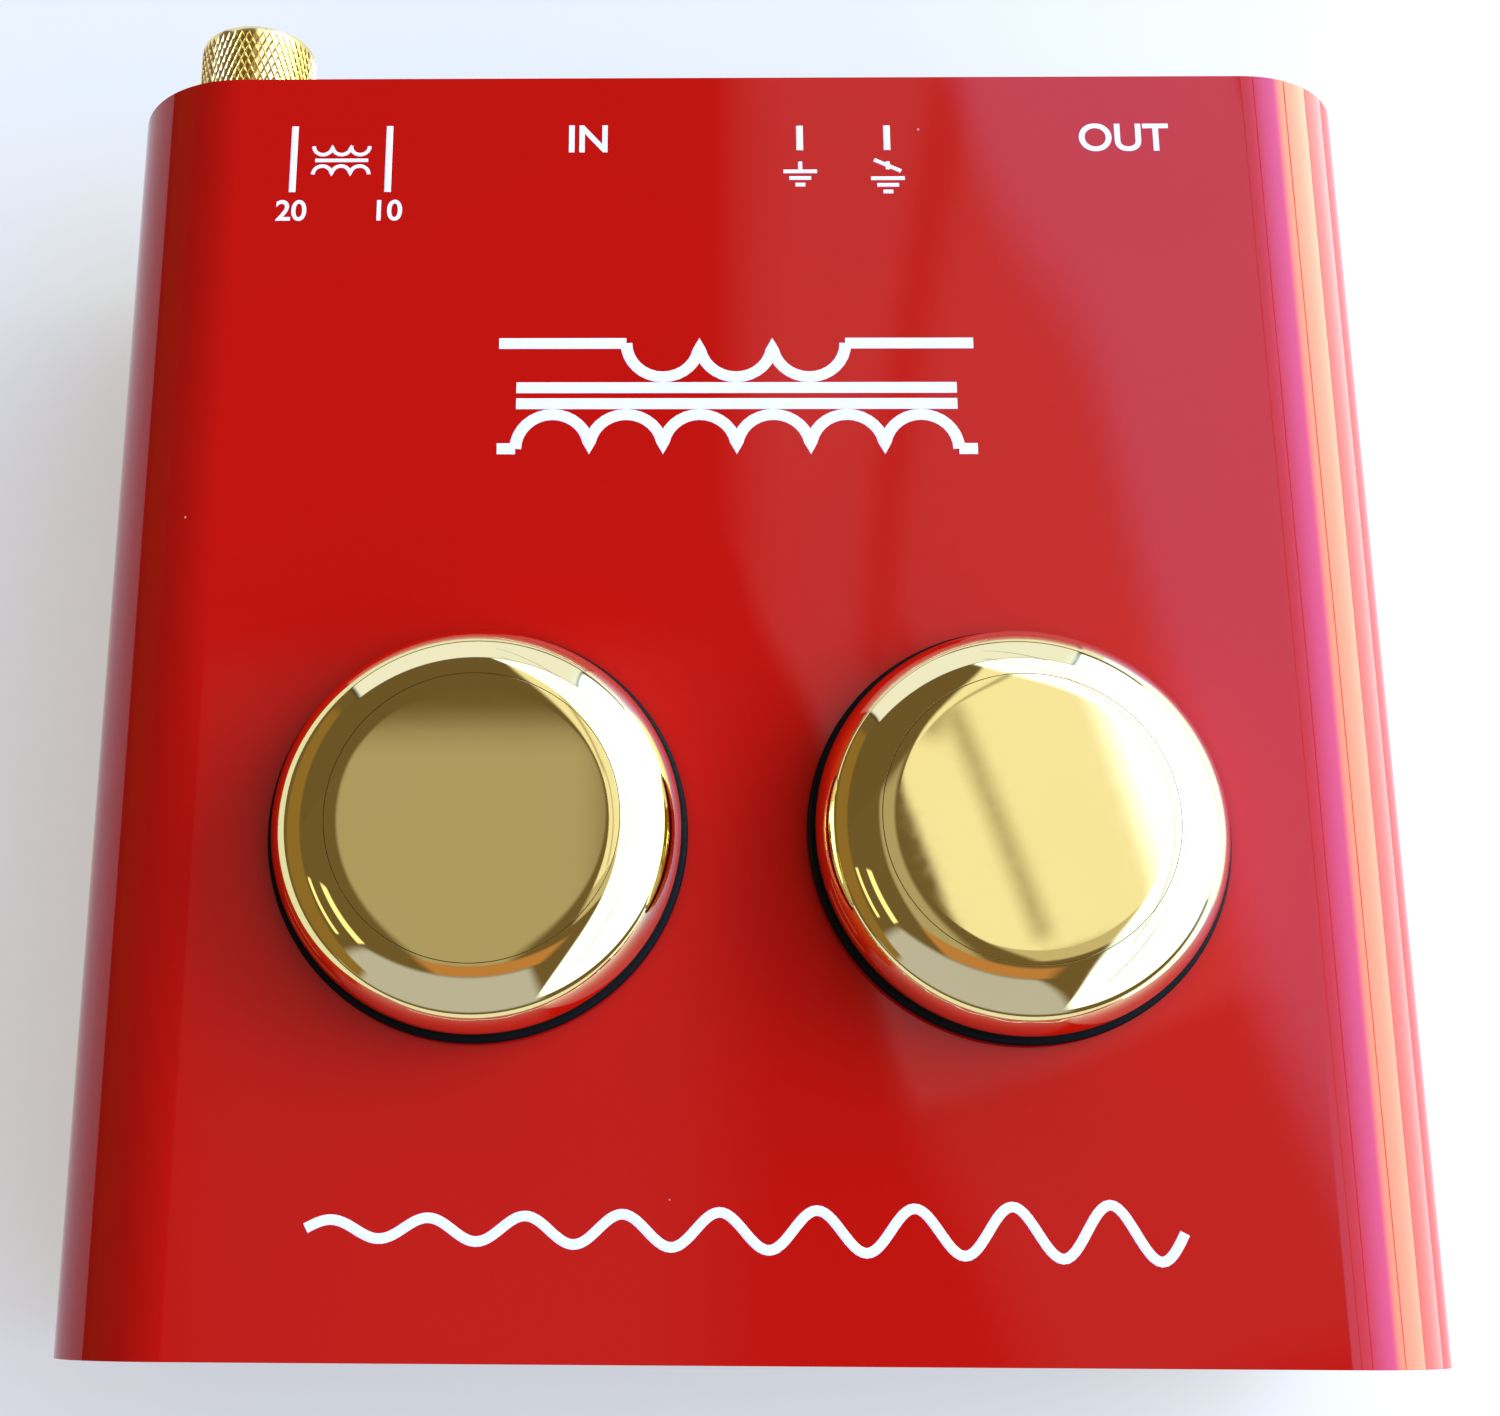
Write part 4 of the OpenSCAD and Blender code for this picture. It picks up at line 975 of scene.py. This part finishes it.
@dataclass
class GroundPost:
    """The ground post at the rear left: knurled thumb nut, washer, threaded stud and insulating bush."""

    nut: float = 6.4
    nut_chamfer: float = 0.8
    diamonds: int = 52
    diamond_rows: int = 6
    lattice: float = 0.12
    recess: float = 0.2
    bore: float = 2.05
    end_wall: float = 1.4
    dish: float = 4.3
    dish_depth: float = 0.25
    stud: float = 2.0
    thread: float = 0.7
    thread_depth: float = 0.35
    collar: float = 5.0
    collar_t: float = 1.6
    washer: float = 5.6
    washer_bore: float = 2.3
    bush: float = 6.0
    bush_t: float = 1.0
    sleeve: float = 3.05
    pole: float = 0.6
    lead_in: float = 0.4
    dish_edge: float = 0.2
    flank: tuple[float, ...] = (0.05, 0.3, 0.4, 0.65)
    thread_gap: float = 0.05
    relief: Point = (1.5, 1.2)
    tip: float = 0.3
    collar_edge: float = 0.2
    washer_edge: float = 0.15
    bush_edge: float = 0.25

    def draw_in(self, start: Point, outline: Sequence[Point]) -> None:
        """Extrude the selected loop of edges through the points of an outline, and close it.

        Args:
            start: the loop's radius and height.
            outline: the points that follow; the loop is closed to a pole after the last one.
        """
        for end in outline:
            rise, share = (end[1] - start[1]) * MM, end[0] / start[0]
            bpy.ops.mesh.extrude_region_move(TRANSFORM_OT_translate={"value": (0, 0, rise)})
            bpy.ops.transform.resize(value=(share, share, 1), center_override=(0, 0, end[1] * MM))
            start = end
        bpy.ops.mesh.merge(type="COLLAPSE")

    def thumb_nut(self) -> None:
        """Roll the diamond knurl on a barrel, chamfer its ends and drill it."""
        low, high = corners("ground_nut")
        length, edge = high.y - low.y, self.nut_chamfer
        row = (length - 2 * edge) / self.diamond_rows
        let_go()
        bpy.ops.mesh.primitive_circle_add(vertices=self.diamonds, radius=self.nut * MM,
                                          location=(0, 0, edge * MM))
        piece = bpy.context.object
        piece.name = "ground_thumb_nut"
        bpy.ops.object.transform_apply(location=True, rotation=True, scale=True)
        bpy.ops.object.mode_set(mode="EDIT")
        bpy.ops.mesh.select_all(action="SELECT")
        for _ in range(self.diamond_rows):
            bpy.ops.mesh.extrude_region_move(TRANSFORM_OT_translate={"value": (0, 0, row * MM)})
        bpy.ops.mesh.select_all(action="SELECT")
        bpy.ops.mesh.normals_make_consistent(inside=False)
        bpy.ops.mesh.poke()
        choose(Part.EDGE, lambda p, n: self.is_grid_line(p)
               and not all(near(q.z, edge) or near(q.z, length - edge) for q in p))
        bpy.ops.mesh.dissolve_edges(use_verts=False)
        choose(Part.FACE, lambda p, n: len(p) == 4)
        bpy.ops.mesh.inset(use_individual=True, thickness=self.lattice * MM, depth=-self.recess * MM)
        shrink = self.nut - edge
        choose(Part.EDGE, lambda p, n: all(near(q.z, length - edge) for q in p) and self.on_barrel(p))
        rounding = arc((shrink, length - edge), edge, 30, 90, 4)
        self.draw_in((self.nut, length - edge), [*rounding, (self.dish, length),
                                                 (self.dish - self.dish_edge, length - self.dish_depth),
                                                 (self.pole, length - self.dish_depth)])
        choose(Part.EDGE, lambda p, n: all(near(q.z, edge) for q in p) and self.on_barrel(p))
        wall = length - self.end_wall
        self.draw_in((self.nut, edge), [(shrink, 0), (self.bore + self.lead_in, 0),
                                        (self.bore, self.lead_in), (self.bore, wall), (self.pole, wall)])
        bpy.ops.mesh.select_all(action="SELECT")
        bpy.ops.mesh.normals_make_consistent(inside=False)
        bpy.ops.object.mode_set(mode="OBJECT")
        set_rear(piece, "ground_nut", middle("ground_nut"), 22)

    def is_grid_line(self, points: list[Vector]) -> bool:
        """Whether an edge is one of the barrel's rings or straight lines, and not of the diamonds."""
        a, b = points
        turn, straight = abs(a.xy.angle_signed(b.xy)), 0.1 / self.diamonds
        return near(a.z, b.z) or turn < straight

    def on_barrel(self, points: list[Vector]) -> bool:
        """Whether all points lie on the barrel's outside."""
        return all(near(q.xy.length, self.nut) for q in points)

    def threaded_stud(self) -> None:
        """Turn the stud with its collar and the rings of its thread."""
        low, high = corners("ground_stud")
        start = corners("rear_panel")[1].y + self.bush_t - low.y
        root = self.stud - self.thread_depth
        radii = (root, self.stud, self.stud, root)

        def thread(first: float, last: float) -> list[Point]:
            """The outline of the thread between two heights."""
            rings = []
            for i in range(int((last - first) / self.thread)):
                foot = first + i * self.thread
                rings += [(radius, foot + rise) for radius, rise in zip(radii, self.flank)]
            return rings + [(root, last)]

        length, top, edge = high.y - low.y, start + self.collar_t, self.collar_edge
        thread_end, shank = [start - back for back in self.relief]
        outline = [(0, 0), (root, 0), *thread(self.thread_gap, thread_end), (self.stud, shank),
                   (self.stud, start), (self.collar - edge, start), (self.collar, start + edge),
                   (self.collar, top - edge), (self.collar - edge, top), (root, top),
                   *thread(top + self.thread_gap, length - self.tip), (root - self.tip, length), (0, length)]
        piece = turned("ground_threaded_stud", outline, 48)
        set_rear(piece, "ground_stud", middle("ground_stud"), 25)

    def rings(self) -> None:
        """Turn the loose washer and mould the bush."""
        axis, edge = middle("ground_clamp_washer"), self.washer_edge
        low, high = corners("ground_clamp_washer")
        thick = high.y - low.y
        flat = [(self.washer_bore, 0), (self.washer - edge, 0), (self.washer, edge),
                (self.washer, thick - edge), (self.washer - edge, thick), (self.washer_bore, thick),
                (self.washer_bore, 0)]
        set_rear(turned("ground_loose_washer", flat, 64), "ground_clamp_washer", axis)
        low, high = corners("ground_bush")
        depth, sleeve = high.y - low.y, high.y - low.y - self.bush_t
        shape = [(self.bore, 0), (self.sleeve, 0), (self.sleeve, sleeve), (self.bush, sleeve),
                 (self.bush, depth - self.bush_edge), (self.bush - self.bush_edge, depth),
                 (self.bore, depth), (self.bore, 0)]
        set_rear(turned("ground_flanged_bush", shape, 64), "ground_bush", axis)

    def build(self) -> None:
        """Make every piece of the post that shows outside the panel."""
        self.thumb_nut()
        self.threaded_stud()
        self.rings()


@dataclass
class Print:
    """White screen print on the cover: marks for the switches and jacks, and signs for what the box does.

    Places are measured from the middle of the cover's top. Each ground sign has the heights of its longest
    bar and of its stem's foot.
    """

    ink: float = 0.03
    bold: float = 1.15
    fine: float = 0.68
    thin: float = 0.42
    hair: float = 0.4
    figure_share: float = 0.72
    weight: float = 0.024
    ratio_x: Point = (-45.4, -35.7)
    ratio_y: Point = (50.0, 57.5)
    number_y: float = 47.8
    number_h: float = 2.3
    ratio_sign: Point = (-43.4, 53.6)
    ratio_hump: float = 0.95
    ratio_gap: float = 1.6
    ratio_core: Point = (0.2, 5.6)
    jack_words: tuple[tuple[str, float], ...] = (("IN", -15.4), ("OUT", 38.9))
    word_y: float = 55.8
    word_h: float = 3.1
    ground_x: Point = (6.1, 14.95)
    ground_y: Point = (54.6, 57.4)
    bars: tuple[float, ...] = (1.7, 1.1, 0.5)
    bar_step: float = 0.75
    stem_top: float = 53.3
    joined: Point = (52.2, 52.2)
    lifted: Point = (51.4, 52.4)
    slash: Point = (1.35, 0.65)
    slash_y: float = 52.85
    sign_at: Point = (-0.6, 27.6)
    hump: float = 3.6
    turns: tuple[int, int] = (3, 6)
    winding_gap: float = 5.6
    rail: float = 0.85
    lead: float = 23.4
    wave_start: Point = (-39.2, -51.7)
    wave_l: float = 77.0
    wave_turns: int = 9
    wave_steps: int = 24
    wave_height: Point = (0.7, 2.5)
    wave_w: float = 0.9
    pieces: list[Object] = field(default_factory=list)

    def stroke(self, points: Sequence[Point], width: float) -> None:
        """Draw a line of ink.

        Args:
            points: the points that it runs through.
            width: its width.
        """
        line = wire("stroke", [(x, y, 0) for x, y in points])
        bpy.ops.object.mode_set(mode="OBJECT")
        take(line)
        bpy.ops.object.convert(target="CURVE")
        line = bpy.context.object
        line.data.bevel_depth = width / 2 * MM
        line.data.bevel_resolution = 2
        line.data.use_fill_caps = True
        bpy.ops.object.convert(target="MESH")
        line = bpy.context.object
        line.scale.z = 2 * self.ink / width
        self.pieces.append(line)

    def word(self, text: str, place: Point, height: float) -> None:
        """Set a plain number or word, centred on a place.

        Args:
            text: what it says.
            place: its middle.
            height: height of its figures and capitals.
        """
        let_go()
        bpy.ops.object.text_add(location=(place[0] * MM, place[1] * MM, -self.ink / 2 * MM))
        sign = bpy.context.object
        sign.data.body = text
        sign.data.align_x, sign.data.align_y = "CENTER", "CENTER"
        sign.data.size = height / self.figure_share * MM
        sign.data.offset = self.weight * height * MM
        sign.data.extrude = self.ink * MM
        bpy.ops.object.convert(target="MESH")
        self.pieces.append(bpy.context.object)

    def humps(self, start: Point, radius: float, count: int, up: bool, width: float) -> None:
        """Draw a row of half rounds, the sign of a winding.

        Args:
            start: the left end.
            radius: radius of each half round.
            count: how many.
            up: whether they bulge up or down.
            width: width of the line.
        """
        points = []
        end = 0 if up else 360
        for i in range(count):
            centre = (start[0] + (2 * i + 1) * radius, start[1])
            points += arc(centre, radius, 180, end, 16)[i > 0:]
        self.stroke(points, width)

    def ground_sign(self, x: float, heights: Point) -> None:
        """Draw the sign of a ground.

        Args:
            x: its middle.
            heights: of its longest bar and of its stem's foot.
        """
        bar, stem = heights
        for i, half in enumerate(self.bars):
            y = bar - self.bar_step * i
            self.stroke([(x - half, y), (x + half, y)], self.thin)
        self.stroke([(x, stem), (x, self.stem_top)], self.thin)

    def marks(self) -> None:
        """Print the marks along the rear edge."""
        for xs, ys in ((self.ratio_x, self.ratio_y), (self.ground_x, self.ground_y)):
            for x in xs:
                self.stroke([(x, y) for y in ys], self.fine)
        for number, x in zip(("20", "10"), self.ratio_x):
            self.word(number, (x, self.number_y), self.number_h)
        for text, x in self.jack_words:
            self.word(text, (x, self.word_y), self.word_h)
        x, y = self.ratio_sign
        for side in (1, -1):
            self.humps((x, y + side * self.ratio_gap), self.ratio_hump, 3, side < 0, self.hair)
        self.stroke([(x + end, y) for end in self.ratio_core], self.hair)
        joined, lifted = self.ground_x
        self.ground_sign(joined, self.joined)
        self.ground_sign(lifted, self.lifted)
        wide, tall = self.slash
        self.stroke([(lifted - wide, self.slash_y + tall), (lifted + wide, self.slash_y - tall)], self.thin)

    def signs(self) -> None:
        """Print the sign of a step-up transformer and a growing wave."""
        x, y = self.sign_at
        core = self.turns[1] * self.hump
        for side, turns in zip((1, -1), self.turns):
            half, height = turns * self.hump, y + side * self.winding_gap
            self.humps((x - half, height), self.hump, turns, side < 0, self.bold)
            for end in (-1, 1):
                self.stroke([(x + end * half, height), (x + end * self.lead, height)], self.bold)
            self.stroke([(x - core, y + side * self.rail), (x + core, y + side * self.rail)], self.bold)
        low, high = self.wave_height
        points = []
        for i in range(self.wave_turns * self.wave_steps + 1):
            share = i / (self.wave_turns * self.wave_steps)
            swing = (low + (high - low) * share) * math.sin(math.tau * self.wave_turns * share)
            points.append((self.wave_start[0] + self.wave_l * share, self.wave_start[1] + swing))
        self.stroke(points, self.wave_w)

    def build(self) -> None:
        """Print everything and lay it on the cover as one piece."""
        self.marks()
        self.signs()
        take(*self.pieces)
        bpy.ops.object.transform_apply(location=True, rotation=True, scale=True)
        bpy.ops.object.join()
        piece = bpy.context.object
        piece.name = "cover_print"
        low, high = corners("top_cover")
        put(piece, ((low.x + high.x) / 2, (low.y + high.y) / 2, high.z))
        dress(piece, WHITE_INK)
        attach(piece, BODY_OF["top_cover"])
        log.info("%s, %d faces", piece.name, len(piece.data.polygons))


# The studio


@dataclass(frozen=True)
class Panel:
    """A light panel far off in the room: the way that it faces, and its reach in degrees from there.

    It hides what lies behind it. A dark frame may lie round it, which a polished piece mirrors as a line.
    """

    name: str
    azimuth: float
    elevation: float
    across: Point
    up: Point
    soft: float
    colour: str
    strength: float
    frame: float = 0.0


# The elevation of the panels overhead. Their azimuth turns them, and they reach right and front from
# the zenith.
OVERHEAD = 90.0


@dataclass
class Studio:
    """A pale floor and a plain room: daylight from the right, a dim ceiling, darker at the left."""

    floor_size: float = 6000.0
    floor_colour: str = "#F0ECE3"
    floor_glow: str = "#E4E4DF"
    floor_lift: float = 0.55
    backdrop: str = "#F0F1F3"
    ambient: str = "#F0CE98"
    ambient_strength: float = 0.18
    frame_glow: float = 0.02
    sill_place: Place = (125.0, 0.0, 20.0)
    sill_size: Point = (300.0, 38.0)
    sill_colour: str = "#FFF4F0"
    sill_glow: float = 3.6
    panels: tuple[Panel, ...] = (
        Panel("ceiling", 0, OVERHEAD, (-13, 1.5), (-17, 12), 2.0, "#FFF4DE", 0.43),
        Panel("right_wall_low", -18.4, OVERHEAD, (8.6, 60), (-6, 7), 1.0, "#FFF4DE", 0.58),
        Panel("right_wall", -18.4, OVERHEAD, (8.6, 60), (-50, -2.2), 0.35, "#FFFDF6", 0.95),
        Panel("ceiling_beam", 0, OVERHEAD, (-70, 2.7), (-60, -17.5), 1.2, "#F0CE98", 0.17),
        Panel("curtain_fold", 11, OVERHEAD, (1.9, 3.3), (-60, -17), 0.7, "#FFF4DE", 0.5),
        Panel("curtain_fold_low", -18.4, OVERHEAD, (11.8, 12.7), (-15, -3), 0.6, "#FFF4DE", 0.5),
        Panel("window", -14, OVERHEAD, (17.8, 89), (-85, 78), 1.0, "#BFD0FF", 3.0),
        Panel("rear_wall", 0, 0, (-38, 24), (1, 33), 0.7, "#CAD4FF", 1.5, 0.8),
        Panel("sky", 76, 0, (-42, 30), (12, 50), 14.0, "#7AA5FF", 11.0),
        Panel("window_bar_top", -14, OVERHEAD, (25, 25.5), (-60, 20), 0.2, "#FFF4DE", 0.3),
        Panel("window_bar_low", 80, 0, (-80, 60), (54.6, 55.3), 0.2, "#FFF4DE", 0.1),
        Panel("sunlit", 76, 0, (-32, 20), (-6, 31.5), 4.5, "#EBFFDF", 12.0),
        Panel("sunlit_bar", 76, 0, (-32, 20), (23.1, 24), 0.25, "#FFF4DE", 0.3),
        Panel("front_high", 0, OVERHEAD, (-14, 14), (11, 25), 2.0, "#D99A66", 0.75),
        Panel("front", 180, 0, (-22, 55), (6, 64), 3.0, "#CBD0F8", 0.85),
        Panel("left_shelf", 270, 0, (-45, 45), (7, 30), 2.0, "#FFD079", 0.27),
        Panel("left_lamp", 255, 0, (-17, 10.5), (48, 54), 0.8, "#FFF6D0", 1.4),
        Panel("left_lamp_low", 255, 0, (-12, 10), (33, 36.5), 0.6, "#FFF6D0", 1.4),
    )

    def facing(self, tree: Tree, way: Socket, panel: Panel, margin: float = 0.0) -> Socket:
        """How much of a panel lies in a direction, from 0 to 1.

        Args:
            tree: the world's nodes.
            way: the direction.
            panel: the panel.
            margin: degrees that are added round it.

        Returns:
            The output that holds it.
        """
        turn, lift = math.radians(panel.azimuth), math.radians(panel.elevation)
        ahead = Vector((math.sin(turn) * math.cos(lift), math.cos(turn) * math.cos(lift), math.sin(lift)))
        right = Vector((math.cos(turn), -math.sin(turn), 0))
        parts = {}
        for name, axis in (("ahead", ahead), ("right", right), ("up", right.cross(ahead))):
            dot = add_node(tree, "ShaderNodeVectorMath", {0: way, 1: axis}, operation="DOT_PRODUCT")
            parts[name] = dot.outputs["Value"]
        share = None
        for name, (low, high) in (("right", panel.across), ("up", panel.up)):
            angle = add_node(tree, "ShaderNodeMath", {0: parts[name], 1: parts["ahead"]},
                             operation="ARCTAN2")
            centre = math.radians((low + high) / 2)
            aside = add_node(tree, "ShaderNodeMath", {0: angle.outputs[0], 1: centre}, operation="SUBTRACT")
            size = add_node(tree, "ShaderNodeMath", {0: aside.outputs[0]}, operation="ABSOLUTE")
            half = (high - low) / 2 + margin
            inside = add_node(tree, "ShaderNodeMapRange", {
                "Value": size.outputs[0], "From Min": math.radians(half - panel.soft),
                "From Max": math.radians(half + panel.soft), "To Min": 1.0, "To Max": 0.0},
                interpolation_type="SMOOTHSTEP").outputs["Result"]
            share = inside if share is None else add_node(tree, "ShaderNodeMath", {0: share, 1: inside},
                                                          operation="MULTIPLY").outputs[0]
        return share

    def room(self) -> None:
        """Light the world with the panels; the camera itself sees the plain backdrop."""
        world = bpy.data.worlds.new("studio_room")
        bpy.context.scene.world = world
        world.use_nodes = True
        tree = world.node_tree
        tree.nodes.clear()
        way = add_node(tree, "ShaderNodeTexCoord").outputs["Generated"]
        total = add_node(tree, "ShaderNodeBackground", {"Color": linear(self.ambient),
                                                        "Strength": self.ambient_strength}).outputs[0]
        dark = add_node(tree, "ShaderNodeBackground", {
            "Color": linear(self.ambient), "Strength": self.frame_glow}).outputs[0]
        for panel in self.panels:
            glow = add_node(tree, "ShaderNodeBackground", {
                "Color": linear(panel.colour), "Strength": panel.strength}, label=panel.name)
            layers = [(0.0, glow.outputs[0])]
            if panel.frame:
                layers.insert(0, (panel.frame, dark))
            for margin, light in layers:
                share = self.facing(tree, way, panel, margin)
                total = add_node(tree, "ShaderNodeMixShader", {0: share, 1: total, 2: light}).outputs[0]
        plain = add_node(tree, "ShaderNodeBackground", {"Color": linear(self.backdrop), "Strength": 1.0})
        eye = add_node(tree, "ShaderNodeLightPath").outputs["Is Camera Ray"]
        seen = add_node(tree, "ShaderNodeMixShader", {0: eye, 1: total, 2: plain.outputs[0]})
        add_node(tree, "ShaderNodeOutputWorld", {"Surface": seen.outputs[0]})

    def floor(self) -> None:
        """Lay a pale matt floor that keeps a light shadow."""
        let_go()
        bpy.ops.mesh.primitive_plane_add(size=self.floor_size * MM)
        sheet = bpy.context.object
        sheet.name = "floor"
        finish = Finish("matt_white_table_laminate", self.floor_colour, self.floor_colour, roughness=0.6,
                        grain=1.5, relief=0.0, drift=200.0)
        dress(sheet, finish)
        tree = finish.material().node_tree
        path = add_node(tree, "ShaderNodeLightPath")
        looks = [path.outputs[name] for name in ("Is Camera Ray", "Is Glossy Ray", "Is Transmission Ray")]
        seen = add_node(tree, "ShaderNodeMath", {0: looks[0], 1: looks[1]}, operation="MAXIMUM")
        seen = add_node(tree, "ShaderNodeMath", {0: seen.outputs[0], 1: looks[2]}, operation="MAXIMUM")
        share = add_node(tree, "ShaderNodeMath", {0: seen.outputs[0], 1: self.floor_lift},
                         operation="MULTIPLY")
        white = add_node(tree, "ShaderNodeEmission", {"Color": linear(self.floor_glow), "Strength": 1.0})
        mixed = add_node(tree, "ShaderNodeMixShader", {0: share.outputs[0],
                                                       1: tree.nodes["Principled BSDF"].outputs[0],
                                                       2: white.outputs[0]})
        tree.links.new(mixed.outputs[0], tree.nodes["Material Output"].inputs["Surface"])

    def sill(self) -> None:
        """Stand a low bright card at the right, which the paint mirrors and the camera doesn't see."""
        let_go()
        bpy.ops.object.light_add(type="AREA", location=[value * MM for value in self.sill_place],
                                 rotation=(0, math.radians(90), 0))
        card = bpy.context.object
        card.name = "bright_sill"
        card.visible_camera = False
        width, height = [value * MM for value in self.sill_size]
        card.data.shape = "RECTANGLE"
        card.data.size = height
        card.data.size_y = width
        card.data.color = linear(self.sill_colour)[:3]
        card.data.energy = self.sill_glow * math.pi * width * height

    def build(self) -> None:
        """Make the room, the sill and the floor, and set the view transform."""
        self.room()
        self.sill()
        self.floor()
        bpy.context.scene.view_settings.view_transform = "Standard"


@dataclass
class Camera:
    """The photograph's camera, close above the front edge."""

    place: Place = (-8.6, -64.1, 231.6)
    pitch: float = 74.0
    yaw: float = 3.5
    roll: float = -3.286
    lens: float = 49.99
    sensor: float = 36.0
    shift: Point = (0.0872, -0.0122)
    clip: Point = (10.0, 20000.0)

    def build(self) -> None:
        """Set the camera up."""
        data = bpy.data.cameras.new("camera")
        data.lens, data.sensor_width = self.lens, self.sensor
        data.shift_x, data.shift_y = self.shift
        data.clip_start, data.clip_end = [distance * MM for distance in self.clip]
        camera = bpy.data.objects.new("camera", data)
        bpy.context.scene.collection.objects.link(camera)
        aim = Euler((math.radians(90 - self.pitch), 0, math.radians(self.yaw))).to_matrix()
        tilt = Matrix.Rotation(math.radians(self.roll), 3, "Z")
        camera.matrix_world = Matrix.Translation(Vector(self.place) * MM) @ (aim @ tilt).to_4x4()
        bpy.context.scene.camera = camera


def dress_solids() -> None:
    """Give every CAD node that stays in sight the finish of its slot."""
    for node, solid in frame["nodes"].items():
        if not solid.hide_render:
            dress(solid, FINISH_OF[SLOT_OF[node]])
            log.info("%s keeps its solid", node)


def main() -> None:
    """Build the camera, the studio and every piece, in order."""
    logging.basicConfig(level=logging.INFO, format="%(message)s")
    Camera().build()
    Studio().build()
    Cover().build()
    for side in ("left", "right"):
        Cap(side).build()
    Print().build()
    GroundPost().build()
    RearPanel().build()
    for jack in JACKS:
        PhonoJack(jack).build()
    JackScrews().build()
    for switch in SWITCHES:
        SlideSwitch(switch).build()
    CoverScrews().build()
    Feet().build()
    dress_solids()
    let_go()


if __name__ == "__main__":
    main()
